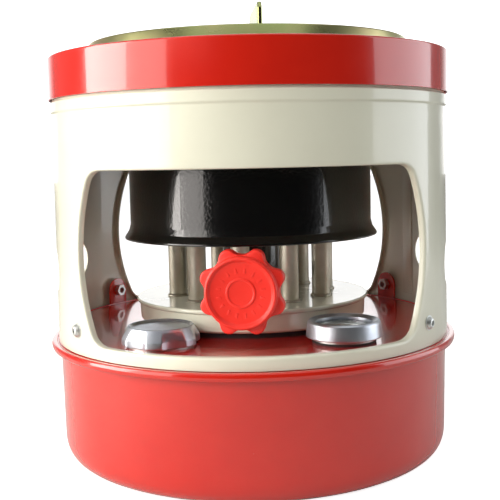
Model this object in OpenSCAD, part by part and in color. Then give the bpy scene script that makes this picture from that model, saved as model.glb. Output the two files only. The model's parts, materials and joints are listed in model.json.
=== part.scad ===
// Round ten-wick kerosene stove: fuel tank, casing with windows, lifting wicks, burner drum and pan support.

/* [Tank] */
// Height of the fuel tank up to its rim
tank_h = 73; // [60:1:90]
// Radius of the tank wall near the rim
tank_r = 118.7; // [116:0.1:119]
// Radius of the rolled seam bead round the rim
bead_r = 124.4; // [123:0.1:127]
// Sheet thickness of the tank
tank_t = 1; // [0.8:0.1:1.2]
// Height of the tank's top floor over the rim
floor_h = 6; // [5:0.5:7]

/* [Casing] */
// Outer radius of the casing at its foot
casing_r = 120; // [119.6:0.1:121]
// Height of the casing
casing_h = 142; // [135:1:150]
// Sheet thickness of the casing
casing_t = 0.9; // [0.8:0.1:1.1]
// Height of the casing below the windows
window_low = 7; // [7:0.5:9]
// Height of the top edge of the windows
window_high = 101.5; // [95:0.5:110]
// Half width of a window at the middle of its bulging sides
window_half = 95.4; // [90:0.2:97]
// Height of the red ring that closes the casing
ring_h = 24.5; // [20:0.5:28]

/* [Burner] */
// Radius of the drum's wall
drum_r = 74.4; // [72:0.2:76]
// Height of the drum's flared lip over the rim
drum_low = 58.5; // [56:0.5:62]
// Height of the drum's top over the rim
drum_high = 146; // [140:1:147]
// Radius of the circle of wick tubes
wick_circle = 46.5; // [46:0.1:47]
// Number of wicks
wick_count = 10; // [10:1:10]
// Outer radius of a wick tube
tube_r = 5.5; // [5.2:0.1:5.6]
// Angle by which the burner assembly is turned in the tank, in degrees
burner_turn = -8.3; // [-12:0.1:-4]

/* [Knob] */
// Radius of the knob over its lobes
knob_r = 23.3; // [20:0.1:24]
// Height of the knob's axis over the rim
knob_z = 38.2; // [36:0.1:40]
// Distance of the knob's back face from the middle of the stove
knob_back = 99; // [97:0.5:102]
// Pitch radius of the pinion
pinion_r = 6; // [6:1:6]

/* [Pan support] */
// Height of the pan support's fins over the rim
fin_top = 187; // [184:0.5:190]
// Radius of the raised lip round the top plate
lip_r = 95.5; // [92:0.5:98]

/* [Hidden] */
$fn = 96;
T = tank_h;
floor_z = T + floor_h;
casing_top_r = casing_r - 1.6;
cap_pos = [-50.5, -77.3, floor_z];
gauge_pos = [49.5, -78, floor_z];
tab_angles = [-54.4, 54.4, 125, -125];
screw_z = [T + 13.2, T + 13.2, T + 15.6, T + 15.6];
shaft_off = pinion_r + 3.87;
disc_z = T + 22.4;
disc_r = 72;
tube_top = T + 78;
seat_z = T + 66;
housing_r = 17.8;
housing_t = 0.8;
housing_top = T + 72;
casing_r_in = casing_r - casing_t;
lip_depth = 3;
ring_low = T + casing_h;
ring_high = ring_low + ring_h;
plate_z = ring_high;
lip_top = T + 174.8;
fin_t = 2.3;
fin_in = 34;
fin_out = 89;
support_turn = 4.5;
carrier_z = T - 14;
outer_sleeve_r = 58;
inner_sleeve_r = 35;
sleeve_low = seat_z + 1.25;
seat_screw_r = 63;
tab_out = casing_r_in - 3.2;
tab_in = tab_out - 1.2;
collar_top = floor_z + 0.6;
lobe_r = 4.5;
slot_ends = [-27, 31];
pin_r = 1.5;
pin_z = T + 99;

// Places the children at an angle round the stove: 0 is the front, positive towards the right.
module at_angle(a, r = 0, z = 0) rotate([0, 0, a]) translate([0, -r, z]) children();

// Repeats the children round the axis.
module ring_of(n, r, z = 0, first = 0) for (i = [0 : n - 1]) at_angle(first + i * 360 / n, r, z) children();

// Tube that stands on the XY plane.
module tube(r_out, r_in, h) difference() {
    cylinder(h = h, r = r_out);
    translate([0, 0, -1]) cylinder(h = h + 2, r = r_in);
}

// Turns the children with the burner assembly.
module in_burner() rotate([0, 0, burner_turn]) children();

// ---- Tank ----

// Outer outline of the tank, from the axis to the rim, drawn in by the sheet's thickness times d.
function tank_outline(d) = concat(
    [[0, 2 + d], [84, 2 + d], [88, d], [tank_r - 18.6, d]],
    [for (a = [0 : 15 : 90]) [tank_r - 18.6 + (18 - d) * sin(a), 18 - (18 - d) * cos(a)]],
    [[tank_r - d, T - 20], [tank_r + 0.3 - d, T - 5.2]]);

module tank_shell() color("firebrick") rotate_extrude() difference() {
    union() {
        polygon(concat(tank_outline(0), [[0, T - 5.2]]));
        translate([0, T - 5.2]) square([tank_r + 0.3, 1.4]);
        translate([tank_r - 2, T - 4.9]) square([bead_r - tank_r - 0.2, 1]);
    }
    polygon(concat(tank_outline(tank_t), [[tank_r + 0.3 - tank_t, T], [0, T]]));
}

// Pressed lid with a low lip and the rolled seam round the shell's flange.
module tank_top() color("firebrick") difference() {
    rotate_extrude() {
        translate([0, floor_z - tank_t]) square([tab_out - 0.6, tank_t]);
        translate([tab_out - 1.6, floor_z - tank_t]) square([1.6, collar_top - floor_z + tank_t]);
        translate([tab_out - 1, T - 3.8]) square([1, floor_h + 3.8]);
        translate([tab_out - 1, T - 3.8]) square([bead_r - tab_out - 1.4, 1]);
        translate([bead_r - 2.5, T - 2.6]) difference() {
            circle(r = 2.5);
            translate([-9, -9]) square([9 + 0.4, 9 - 1.3 + 0.1]);
        }
    }
    translate([0, 0, floor_z - 5]) cylinder(h = 9, r = 58);
    translate(cap_pos + [0, 0, -5]) cylinder(h = 9, r = 15.6);
    translate(gauge_pos + [0, 0, -5]) cylinder(h = 9, r = 13.6);
    in_burner() ring_of(4, seat_screw_r, floor_z - 5, 27) cylinder(h = 9, r = 2.1);
}

// Rounded tabs of the lid that the casing is screwed to.
module casing_tabs() color("firebrick") for (i = [0 : 3]) at_angle(tab_angles[i], 0, 0) intersection() {
    translate([0, 0, T]) tube(tab_out, tab_in, 40);
    difference() {
        translate([0, 0, screw_z[i]]) rotate([90, 0, 0]) union() {
            cylinder(h = 200, r = 8.2);
            translate([-8.2, -16, 0]) cube([16.4, 16, 200]);
        }
        translate([0, 0, screw_z[i]]) rotate([90, 0, 0]) cylinder(h = 200, r = 2.1);
        translate([-20, -200, 0]) cube([40, 200, collar_top]);
    }
}

// ---- Filler and gauge ----

module filler_neck() color("silver") translate(cap_pos) {
    difference() {
        union() {
            translate([0, 0, -4]) cylinder(h = 11.4, r = 15.5);
            cylinder(h = 0.8, r = 18.4);
            for (z = [2.2, 5.2]) translate([0, 0, z]) cylinder(h = 1, r = 16.1);
        }
        translate([0, 0, -5]) cylinder(h = 14, r = 14.3);
    }
}

// Cap with a sloped shoulder, six hollows for the fingers, a dished top and a space that clears the neck.
module filler_cap() color("lightgray") translate(cap_pos) difference() {
    rotate_extrude() polygon([[0, 8.8], [16.8, 8.8], [16.8, 1.2], [21.3, 1.2], [21.7, 1.7], [21.7, 4.6],
        [18.4, 10], [17.7, 11.2], [17, 11.2], [15.8, 9.9], [0, 9.9]]);
    ring_of(6, 34.9, 0, 24.5) cylinder(h = 12, r = 16);
}

module cap_gasket() color("dimgray") translate(cap_pos + [0, 0, 7.6]) tube(16.4, 12.4, 1.2);

module gauge_gasket() color("dimgray") translate(gauge_pos) tube(17.5, 13.7, 1.2);

module gauge_body() color("silver") translate(gauge_pos) difference() {
    union() {
        translate([0, 0, 1.2]) cylinder(h = 1.6, r = 17.2);
        translate([0, 0, 2.8]) cylinder(h = 5, r = 15.4);
        translate([0, 0, -5]) cylinder(h = 7, r = 13.5);
    }
    translate([0, 0, 3.2]) cylinder(h = 6, r = 14.2);
    translate([0, 0, -6]) cylinder(h = 12, r = 1.3);
}

module gauge_dial() color("ivory") translate(gauge_pos + [0, 0, 3.2]) tube(14.1, 1.3, 0.8);

module gauge_glass() color("lightblue", 0.4) translate(gauge_pos + [0, 0, 7.8]) cylinder(h = 1.2, r = 16.6);

module gauge_bezel() color("lightgray") translate(gauge_pos) rotate_extrude() polygon([[15.5, 2.9], [20.7, 2.9],
    [20.9, 3.3], [19.9, 10.9], [19.2, 12], [18.3, 12], [15.6, 10.6], [15.4, 9],
    [16.6, 9], [16.6, 7.8], [15.5, 7.8]]);

module gauge_tube() color("silver") translate([gauge_pos[0], gauge_pos[1], 6]) difference() {
    tube(3.4, 2.7, floor_z - 11);
    for (a = [0, 180]) rotate([0, 0, a]) translate([1.5, -0.8, 4]) cube([3, 1.6, floor_z - 20]);
}

module gauge_end_stop() color("silver") translate([gauge_pos[0], gauge_pos[1], 6]) difference() {
    cylinder(h = 3, r = 5.4);
    translate([0, 0, -1]) cylinder(h = 5, r = 3.4);
}

module gauge_float() color("peru") translate([gauge_pos[0], gauge_pos[1], 9.4]) tube(12.5, 3.8, 14);

module gauge_spindle() color("gold") translate([gauge_pos[0], gauge_pos[1], 7.5]) {
    translate([0, 0, 3]) linear_extrude(height = floor_z - 18, twist = 270, slices = 18, $fn = 4) square([2.6, 0.6], true);
    cylinder(h = 3.2, r = 0.8);
    translate([0, 0, floor_z - 15.2]) cylinder(h = 13, r = 0.8);
}

module gauge_pointer() color("red") translate(gauge_pos + [0, 0, 5.2]) {
    difference() {
        union() {
            cylinder(h = 0.8, r = 2);
            translate([-0.6, -11, 0]) cube([1.2, 11, 0.6]);
        }
        translate([0, 0, -1]) cylinder(h = 3, r = 0.8);
    }
}

// ---- Casing ----

// Outline of a window, drawn in by d: flat at the top and bottom, with bulging sides and round corners.
module window_outline(d) {
    half_h = (window_high - window_low) / 2 - d;
    side_r = 124.5 - d;
    side_x = window_half - d - side_r;
    corner_r = 9 - d;
    corner_y = half_h - corner_r;
    corner_x = side_x + sqrt(pow(side_r - corner_r, 2) - pow(corner_y, 2));
    turn = asin(corner_y / (side_r - corner_r));
    corner = [for (i = [0 : 6]) let (t = turn + (90 - turn) * i / 6)
        [corner_x + corner_r * cos(t), corner_y + corner_r * sin(t)]];
    side = [for (i = [-5 : 5]) let (t = turn * i / 6) [side_x + side_r * cos(t), side_r * sin(t)]];
    right = concat([for (i = [6 : -1 : 0]) [corner[i][0], -corner[i][1]]], side, corner);
    polygon(concat(right, [for (i = [len(right) - 1 : -1 : 0]) [-right[i][0], right[i][1]]]));
}

// Solid along the front and back through both windows.
module window_cutter(d) translate([0, 0, T + (window_low + window_high) / 2]) rotate([90, 0, 0])
    linear_extrude(height = 300, center = true) window_outline(d);

module finger_slot_cutter() translate([0, 0, T + 41.5]) rotate([90, 0, 90])
    linear_extrude(height = 280, center = true) {
        translate([slot_ends[0], -12]) square([slot_ends[1] - slot_ends[0], 24]);
        for (x = slot_ends) translate([x, 0]) circle(r = 12);
    }

module casing_cone(inset, over) translate([0, 0, T - over])
    cylinder(h = casing_h + 2 * over, r1 = casing_r - inset, r2 = casing_top_r - inset);

// Rolled sheet, with a lip turned inwards round each window.
module casing() color("oldlace") difference() {
    union() {
        casing_cone(0, 0);
        translate([0, 0, T + casing_h - 8]) cylinder(h = 6.6, r = 119.4);
    }
    difference() {
        casing_cone(casing_t, 1);
        window_cutter(-casing_t);
    }
    casing_cone(casing_t + lip_depth, 1);
    window_cutter(0);
    finger_slot_cutter();
    for (i = [0 : 3]) translate([0, 0, screw_z[i]]) rotate([90, 0, tab_angles[i]]) cylinder(h = 200, r = 2.1);
}

module casing_screws() color("silver") for (i = [0 : 3]) at_angle(tab_angles[i], casing_r + 0.1, screw_z[i])
    rotate([90, 0, 0]) difference() {
        union() {
            rotate_extrude() polygon([[0, 0], [3.5, 0], [3.5, 0.8], [3, 1.7], [2, 2.3], [0, 2.5]]);
            translate([0, 0, -9]) cylinder(h = 9.1, r = 2);
        }
        for (a = [0, 90]) rotate([0, 0, a]) translate([-2, -0.35, 1.3]) cube([4, 0.7, 2]);
    }

module casing_nuts() color("silver") for (i = [0 : 3])
    at_angle(tab_angles[i], tab_in - 3.5, screw_z[i]) rotate([90, 0, 0]) difference() {
        cylinder(h = 3.2, r = 4, $fn = 6);
        translate([0, 0, -1]) cylinder(h = 6, r = 2);
    }

// Ring pressed over the top of the casing, turned inwards at its top to carry the pan support.
module top_ring() color("firebrick") rotate_extrude() polygon([[119.4, ring_low], [120.3, ring_low],
    [120.3, ring_high - 3], [119.7, ring_high - 1.2], [118.2, ring_high], [104, ring_high],
    [104, ring_high - 1], [117.8, ring_high - 1], [119.4, ring_high - 3.2]]);

// ---- Burner base ----

module seal_ring() color("dimgray") difference() {
    translate([0, 0, floor_z]) tube(66.5, 59, 3);
    in_burner() ring_of(4, seat_screw_r, floor_z - 1, 27) cylinder(h = 5, r = 2.1);
}

module base_pan() color("oldlace") difference() {
    in_burner() difference() {
        translate([0, 0, floor_z + 3]) rotate_extrude() polygon([[58.6, 0], [68.5, 0], [69.8, 1.2], [70.2, 10.6],
            [70.8, 12.4], [disc_r, 12.8], [disc_r, 13.2], [71.3, 13.4], [0, 13.4], [0, 12.2], [69, 12.2], [69, 1.2],
            [58.6, 1.2]]);
        ring_of(wick_count, wick_circle, disc_z - 5) cylinder(h = 9, r = tube_r);
        translate([0, 0, disc_z - 5]) cylinder(h = 9, r = 14);
    }
    in_burner() ring_of(4, seat_screw_r, floor_z, 27) cylinder(h = 9, r = 2.1);
}

module base_screws() color("silver") in_burner() ring_of(4, seat_screw_r, floor_z + 4.2, 27) {
    cylinder(h = 2.2, r = 3.5);
    translate([0, 0, -9]) cylinder(h = 9.5, r = 2);
    translate([0, 0, -8.4]) tube(4, 2, 3);
}

module wick_tubes() color("darkgray") in_burner() ring_of(wick_count, wick_circle, disc_z - 4)
    tube(tube_r, tube_r - 0.6, tube_top - disc_z + 4);

module tube_collars() color("darkgray") in_burner() ring_of(wick_count, wick_circle, disc_z)
    rotate_extrude() polygon([[tube_r, 0], [tube_r + 1.1, 0], [tube_r + 0.8, 0.7], [tube_r, 1.5]]);

// Ring plate on the wick tubes that carries the burner.
module burner_seat() color("darkgray") in_burner() difference() {
    translate([0, 0, seat_z]) tube(66, housing_r + 4, 1.2);
    ring_of(wick_count, wick_circle, seat_z - 4) cylinder(h = 9, r = tube_r);
}

module gear_housing() color("black") in_burner() difference() {
    translate([0, 0, disc_z]) union() {
        cylinder(h = housing_top - disc_z, r = housing_r);
        translate([shaft_off, 0, knob_z + T - disc_z]) rotate([90, 0, 0]) cylinder(h = 17.5, r = 5.4);
    }
    translate([0, 0, disc_z - 1]) cylinder(h = housing_top - disc_z + 2, r = housing_r - housing_t);
    translate([shaft_off, 0, knob_z + T]) rotate([90, 0, 0]) cylinder(h = 30, r = 4);
}

module housing_cap() color("black") translate([0, 0, housing_top]) {
    cylinder(h = 1.2, r = housing_r);
    translate([0, 0, -3]) tube(housing_r - 1.3, housing_r - 2.2, 3);
}

module shaft_bush() color("goldenrod") in_burner() translate([shaft_off, -14.4, knob_z + T]) rotate([90, 0, 0]) {
    tube(4, 3.05, 4);
    translate([0, 0, 3.1]) tube(5.2, 3.05, 1.4);
}

// ---- Wick lift ----

module wick_carrier() color("silver") in_burner() difference() {
    translate([0, 0, carrier_z]) cylinder(h = 1.5, r = 53.5);
    ring_of(wick_count, wick_circle, carrier_z - 1) cylinder(h = 4, r = 4.3);
    ring_of(5, 25, carrier_z - 1, 18) cylinder(h = 4, r = 9);
    translate([0, 0, carrier_z - 1]) cylinder(h = 4, r = 2.5);
}

module wicks() color("white") in_burner() ring_of(wick_count, wick_circle, 6)
    cylinder(h = tube_top - 7, r = 4.2);

module wick_clamps() color("goldenrod") in_burner() ring_of(wick_count, wick_circle, carrier_z + 1.5)
    tube(4.75, 4.2, 6);

// Toothed bar that stands on the carrier: its pitch line lies pinion_r from the shaft.
module rack() color("goldenrod") in_burner() {
    pitch = PI * 2 * pinion_r / 12;
    difference() {
        translate([-3.4, -3, carrier_z + 1.5]) cube([8.3, 6, housing_top - 24 - carrier_z]);
        for (i = [-9 : 9]) translate([4.9, 0, T + knob_z + i * pitch]) rotate([90, 0, 0])
            linear_extrude(height = 8, center = true)
            polygon([[-2.25, -0.42], [-2.25, 0.42], [0.1, 1.32], [0.1, -1.32]]);
    }
    translate([0, 0, carrier_z - 5]) cylinder(h = 7, r = 2.5);
}

module rack_nut() color("silver") translate([0, 0, carrier_z - 4]) difference() {
    cylinder(h = 4, r = 5.2, $fn = 6);
    translate([0, 0, -1]) cylinder(h = 6, r = 2.5);
}

// The knob's shaft runs past the rack on one side.
module at_shaft(y) in_burner() translate([shaft_off, -y, T + knob_z]) rotate([90, 0, 0]) children();

module pinion() color("goldenrod") at_shaft(-2.3) difference() {
    linear_extrude(height = 4.6) {
        circle(r = 4.7, $fn = 48);
        for (i = [0 : 11]) rotate(i * 30) polygon([[4.4, -1.1], [6.9, -0.33], [6.9, 0.33], [4.4, 1.1]]);
    }
    translate([0, 0, -1]) cylinder(h = 8, r = 3);
}

module knob_shaft() color("silver") at_shaft(-6) cylinder(h = knob_back + 12, r = 3);

module retaining_ring() color("dimgray") at_shaft(19.2) tube(5, 3, 1);

// Lobed grip: a scalloped skirt, a round raised rim and a recessed face.
module knob() color("orangered") at_shaft(knob_back) difference() {
    union() {
        linear_extrude(height = 8) {
            difference() {
                circle(r = knob_r - 2.1);
                for (i = [0 : 7]) rotate(i * 45) translate([knob_r + 2.6, 0]) circle(r = 6.6);
            }
            for (i = [0 : 7]) rotate(i * 45 + 22.5) translate([knob_r - lobe_r, 0]) circle(r = lobe_r);
        }
        translate([0, 0, 8]) rotate_extrude() polygon([[0, -1], [18.9, -1], [18.9, 3.8], [18.3, 4.8], [17.2, 5],
            [16.2, 3.4], [7.8, 2.8], [7.4, 3.3], [6.8, 3.3], [6.4, 2.8], [0, 2.8]]);
    }
    translate([0, 0, -1]) rotate_extrude() polygon([[6.6, 0], [16.4, 0], [16.4, 7.5], [6.6, 7.5]]);
    translate([0, 0, -1]) cylinder(h = 8.2, r = 3);
}

module knob_insert() color("goldenrod") at_shaft(knob_back - 7) difference() {
    cylinder(h = 7, r = 6.5);
    translate([0, 0, -1]) cylinder(h = 9, r = 3);
    translate([0, 0, 3.5]) rotate([0, 90, 0]) cylinder(h = 9, r = 1.5);
}

module grub_screw() color("dimgray") at_shaft(knob_back - 7) translate([3, 0, 3.5]) rotate([0, 90, 0])
    difference() {
        cylinder(h = 3.2, r = 1.5);
        translate([0, 0, 2]) cylinder(h = 2, r = 0.8, $fn = 6);
    }

// ---- Burner ----

module burner_drum() color("black") rotate_extrude() polygon([[77.1, T + drum_low], [78, T + drum_low],
    [78, T + drum_low + 0.9], [76.6, T + 61.5], [drum_r + 0.6, T + 64], [drum_r, T + 67],
    [drum_r, T + drum_high - 2], [drum_r - 1.4, T + drum_high], [68, T + drum_high], [68, T + drum_high - 0.9],
    [drum_r - 1.9, T + drum_high - 0.9], [drum_r - 0.9, T + drum_high - 2], [drum_r - 0.9, T + 67.2],
    [drum_r - 0.3, T + 63.8]]);

// Sleeve with a hole for each cross pin.
module sleeve(r, top) difference() {
    translate([0, 0, sleeve_low]) tube(r, r - 0.6, top - sleeve_low);
    pin_places() cylinder(h = drum_r, r = pin_r + 0.05);
}

module pin_places() ring_of(3, 0, pin_z, 20) rotate([90, 0, 0]) children();

module outer_sleeve() color("gray") sleeve(outer_sleeve_r, T + drum_high - 6);

module inner_sleeve() color("gray") sleeve(inner_sleeve_r, T + drum_high - 14);

// Pair of flat feet under the sleeves, resting on the seat.
module burner_tray() color("gray") translate([0, 0, sleeve_low]) {
    tube(outer_sleeve_r + 5, outer_sleeve_r, 1);
    tube(inner_sleeve_r - 0.6, inner_sleeve_r - 5, 1);
}

module inner_cap() color("gray") translate([0, 0, T + drum_high - 14]) rotate_extrude()
    polygon([[0, 2.5], [28, 1.2], [inner_sleeve_r - 0.6, 0], [inner_sleeve_r + 1.5, 0],
        [inner_sleeve_r + 1.5, 1], [28, 2.3], [0, 3.6]]);

module cross_pins() color("silver") pin_places() translate([0, 0, inner_sleeve_r - 3])
    cylinder(h = drum_r - 0.9 - inner_sleeve_r + 3, r = pin_r);

// ---- Pan support ----

// Pressed plate: it rests on the red ring, rises to a raised lip and dips to a flat floor inside.
module top_plate() color("darkkhaki") difference() {
    rotate_extrude() polygon([[66, plate_z - 4.4], [66.9, plate_z - 4.4], [66.9, plate_z - 1.5],
        [lip_r - 6, plate_z - 1.5], [lip_r - 4, plate_z + 0.4], [lip_r - 2, lip_top - 1.2], [lip_r - 0.9, lip_top - 0.9],
        [lip_r + 0.9, plate_z + 2.4], [lip_r + 3, plate_z], [112, plate_z], [112, plate_z + 0.9],
        [lip_r + 3.4, plate_z + 0.9], [lip_r + 1.8, plate_z + 2.8], [lip_r, lip_top - 0.6], [lip_r - 1, lip_top],
        [lip_r - 2.5, lip_top - 0.4], [lip_r - 4.8, plate_z + 0.9], [lip_r - 6.4, plate_z - 0.6],
        [66.3, plate_z - 0.6], [66, plate_z - 1]]);
    rivet_places() translate([0, 0, -3]) cylinder(h = 6, r = 1.5);
}

// Upright fins with a rounded inner end and folded feet.
module pan_fins() color("darkkhaki") difference() {
    ring_of(3, 0, 0, support_turn) {
        rotate([90, 0, 90]) translate([0, 0, -fin_t / 2]) linear_extrude(height = fin_t) difference() {
            union() {
                translate([-fin_out, plate_z - 0.6]) square([fin_out - 70, T + fin_top - plate_z + 0.6]);
                translate([-72, plate_z + 2]) square([72 - fin_in - 6, T + fin_top - plate_z - 2]);
                translate([-fin_in - 7, T + fin_top - 7]) circle(r = 7);
                translate([-fin_in - 7, plate_z + 2]) square([7, T + fin_top - 9 - plate_z]);
            }
            translate([-fin_out - 3, T + fin_top - 2]) rotate(45) square([20, 5]);
        }
        translate([-6.5, -fin_out, plate_z - 0.6]) cube([13, fin_out - 70, 0.8]);
    }
    rivet_places() translate([0, 0, -3]) cylinder(h = 6, r = 1.5);
}

module rivet_places() ring_of(3, 0, 0, support_turn) for (x = [-4.2, 4.2], y = [-74, -85])
    translate([x, y, plate_z]) children();

module fin_rivets() color("silver") rivet_places() {
    translate([0, 0, -3]) cylinder(h = 4, r = 1.5);
    translate([0, 0, 0.2]) rotate_extrude() polygon([[0, 0], [2.6, 0], [2.4, 0.7], [1.6, 1.1], [0, 1.2]]);
    translate([0, 0, -2.2]) cylinder(h = 0.7, r = 2.2);
}

tank_shell();
tank_top();
casing_tabs();
filler_neck();
gauge_gasket();
gauge_body();
gauge_dial();
gauge_glass();
gauge_bezel();
gauge_tube();
gauge_end_stop();
casing();
casing_screws();
casing_nuts();
top_ring();
seal_ring();
base_pan();
base_screws();
wick_tubes();
tube_collars();
burner_seat();
gear_housing();
housing_cap();
shaft_bush();
wick_carrier();
wicks();
wick_clamps();
rack();
rack_nut();
pinion();
knob_shaft();
retaining_ring();
knob();
knob_insert();
grub_screw();
burner_drum();
outer_sleeve();
inner_sleeve();
burner_tray();
inner_cap();
cross_pins();
top_plate();
pan_fins();
fin_rivets();
filler_cap();
cap_gasket();
gauge_float();
gauge_spindle();
gauge_pointer();
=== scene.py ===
"""Looks of a round ten-wick kerosene stove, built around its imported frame."""

import json
import logging
import math
from collections.abc import Callable, Sequence
from dataclasses import dataclass
from enum import Enum
from functools import partial

import bmesh
import bpy
import numpy as np
from mathutils import Matrix, Vector


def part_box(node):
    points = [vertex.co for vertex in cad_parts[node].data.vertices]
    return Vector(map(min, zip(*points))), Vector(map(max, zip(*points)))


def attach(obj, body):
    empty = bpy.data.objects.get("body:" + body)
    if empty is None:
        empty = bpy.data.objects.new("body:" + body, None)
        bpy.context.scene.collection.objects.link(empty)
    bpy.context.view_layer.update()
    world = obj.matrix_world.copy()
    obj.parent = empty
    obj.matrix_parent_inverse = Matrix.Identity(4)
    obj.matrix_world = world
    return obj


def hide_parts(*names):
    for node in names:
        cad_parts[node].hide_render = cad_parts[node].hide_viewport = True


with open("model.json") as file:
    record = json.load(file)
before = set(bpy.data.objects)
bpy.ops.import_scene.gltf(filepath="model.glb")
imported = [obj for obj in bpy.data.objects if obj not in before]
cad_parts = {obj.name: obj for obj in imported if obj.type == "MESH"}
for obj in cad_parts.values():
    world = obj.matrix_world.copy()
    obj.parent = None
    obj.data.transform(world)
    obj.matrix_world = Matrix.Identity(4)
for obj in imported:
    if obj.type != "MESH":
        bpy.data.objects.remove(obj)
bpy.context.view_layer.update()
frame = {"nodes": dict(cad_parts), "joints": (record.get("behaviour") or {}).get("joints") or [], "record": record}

log = logging.getLogger("stove")
MM = 0.001
TAU = 2 * math.pi
Point = tuple[float, float]
Corner = tuple[float, float, float]


class Slot(Enum):
    """Material slots of the record."""

    RED = "red_enamel"
    CREAM = "cream_enamel"
    BLACK = "black_enamel"
    GOLD = "yellow_zinc"
    BRIGHT = "bright_plate"
    ZINC = "zinc_plate"
    TUBE = "tube_steel"
    FLAME = "flame_steel"
    DARK = "dark_steel"
    BRASS = "brass"
    KNOB = "knob_plastic"
    SEAL = "seal_rubber"
    GLASS = "gauge_glass"
    DIAL = "dial_face"
    POINTER = "pointer_red"
    WICK = "wick_cotton"
    CORK = "float_cork"


class Body(Enum):
    """Moving bodies of the frame."""

    STOVE = "stove"
    WICKS = "wick_carriage"
    KNOB = "knob"
    BURNER = "burner"
    SUPPORT = "pan_support"
    SEAL = "cap_seal"
    CAP = "cap"
    FLOAT = "float"
    NEEDLE = "needle"


# ---------------------------------------------------------------- node helpers


class Tree:
    """Short calls for adding nodes and links to one node tree."""

    def __init__(self, tree: bpy.types.NodeTree) -> None:
        """Wraps a node tree.

        Args:
            tree: The shader or geometry node tree.
        """
        self.tree = tree

    def add(self, kind: str, **inputs: object) -> bpy.types.Node:
        """Adds a node and fills its sockets.

        Args:
            kind: The node's type name.
            **inputs: Socket values or source sockets, with underscores for spaces in their names.

        Returns:
            The new node.
        """
        node = self.tree.nodes.new(kind)
        self.fill(node, **inputs)
        return node

    def fill(self, node: bpy.types.Node, **inputs: object) -> None:
        """Sets or links a node's sockets by name.

        Args:
            node: The node to fill.
            **inputs: Socket values or source sockets.
        """
        for key, value in inputs.items():
            name = key.replace("_", " ")
            self.feed(next(s for s in node.inputs if s.name == name and s.enabled), value)

    def feed(self, socket: bpy.types.NodeSocket, value: object) -> None:
        """Links a source socket to a socket, or sets its value.

        Args:
            socket: The socket that is fed.
            value: A value or a source socket.
        """
        if isinstance(value, bpy.types.NodeSocket):
            self.tree.links.new(value, socket)
        else:
            socket.default_value = value

    def math(self, operation: str, a: object, b: object = 0.0) -> bpy.types.NodeSocket:
        """Adds a math node.

        Args:
            operation: The operation's name.
            a: The first value or socket.
            b: The second value or socket.

        Returns:
            The result's socket.
        """
        node = self.tree.nodes.new("ShaderNodeMath")
        node.operation = operation
        for socket, value in zip(node.inputs, (a, b)):
            self.feed(socket, value)
        return node.outputs[0]

    def vector_math(self, operation: str, a: object, b: object = (0.0, 0.0, 0.0)) -> bpy.types.Node:
        """Adds a vector math node.

        Args:
            operation: The operation's name.
            a: The first vector or socket.
            b: The second vector or socket.

        Returns:
            The node.
        """
        node = self.tree.nodes.new("ShaderNodeVectorMath")
        node.operation = operation
        for socket, value in zip(node.inputs, (a, b)):
            self.feed(socket, value)
        return node

    def remap(self, value: bpy.types.NodeSocket, low: float, high: float,
              to: Point = (0.0, 1.0)) -> bpy.types.NodeSocket:
        """Maps a span of values to another, clamped.

        Args:
            value: The socket to map.
            low: Value that maps to the first end.
            high: Value that maps to the second end.
            to: The two ends.

        Returns:
            The mapped socket.
        """
        node = self.tree.nodes.new("ShaderNodeMapRange")
        node.inputs["From Min"].default_value = low
        node.inputs["From Max"].default_value = high
        node.inputs["To Min"].default_value = to[0]
        node.inputs["To Max"].default_value = to[1]
        self.tree.links.new(value, node.inputs["Value"])
        return node.outputs[0]

    def mix_colour(self, factor: object, a: object, b: object) -> bpy.types.NodeSocket:
        """Mixes two colours.

        Args:
            factor: The share of the second colour.
            a: The first colour or socket.
            b: The second colour or socket.

        Returns:
            The mixed colour's socket.
        """
        node = self.tree.nodes.new("ShaderNodeMix")
        node.data_type = "RGBA"
        for socket, value in ((node.inputs[0], factor), (node.inputs[6], a), (node.inputs[7], b)):
            self.feed(socket, value)
        return node.outputs[2]


def new_group(name: str, kind: str, inputs: dict[str, float],
              outputs: Sequence[str]) -> tuple[Tree, bpy.types.Node, bpy.types.Node]:
    """Starts a node group with float inputs and outputs.

    Args:
        name: The group's name.
        kind: The node tree's type.
        inputs: Names of the inputs and their defaults.
        outputs: Names of the outputs.

    Returns:
        The tree helper, the input node and the output node.
    """
    tree = bpy.data.node_groups.new(name, kind)
    for label, value in inputs.items():
        socket = tree.interface.new_socket(name=label, in_out="INPUT", socket_type="NodeSocketFloat")
        socket.default_value = value
    for label in outputs:
        tree.interface.new_socket(name=label, in_out="OUTPUT", socket_type="NodeSocketFloat")
    helper = Tree(tree)
    return helper, helper.add("NodeGroupInput"), helper.add("NodeGroupOutput")


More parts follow.
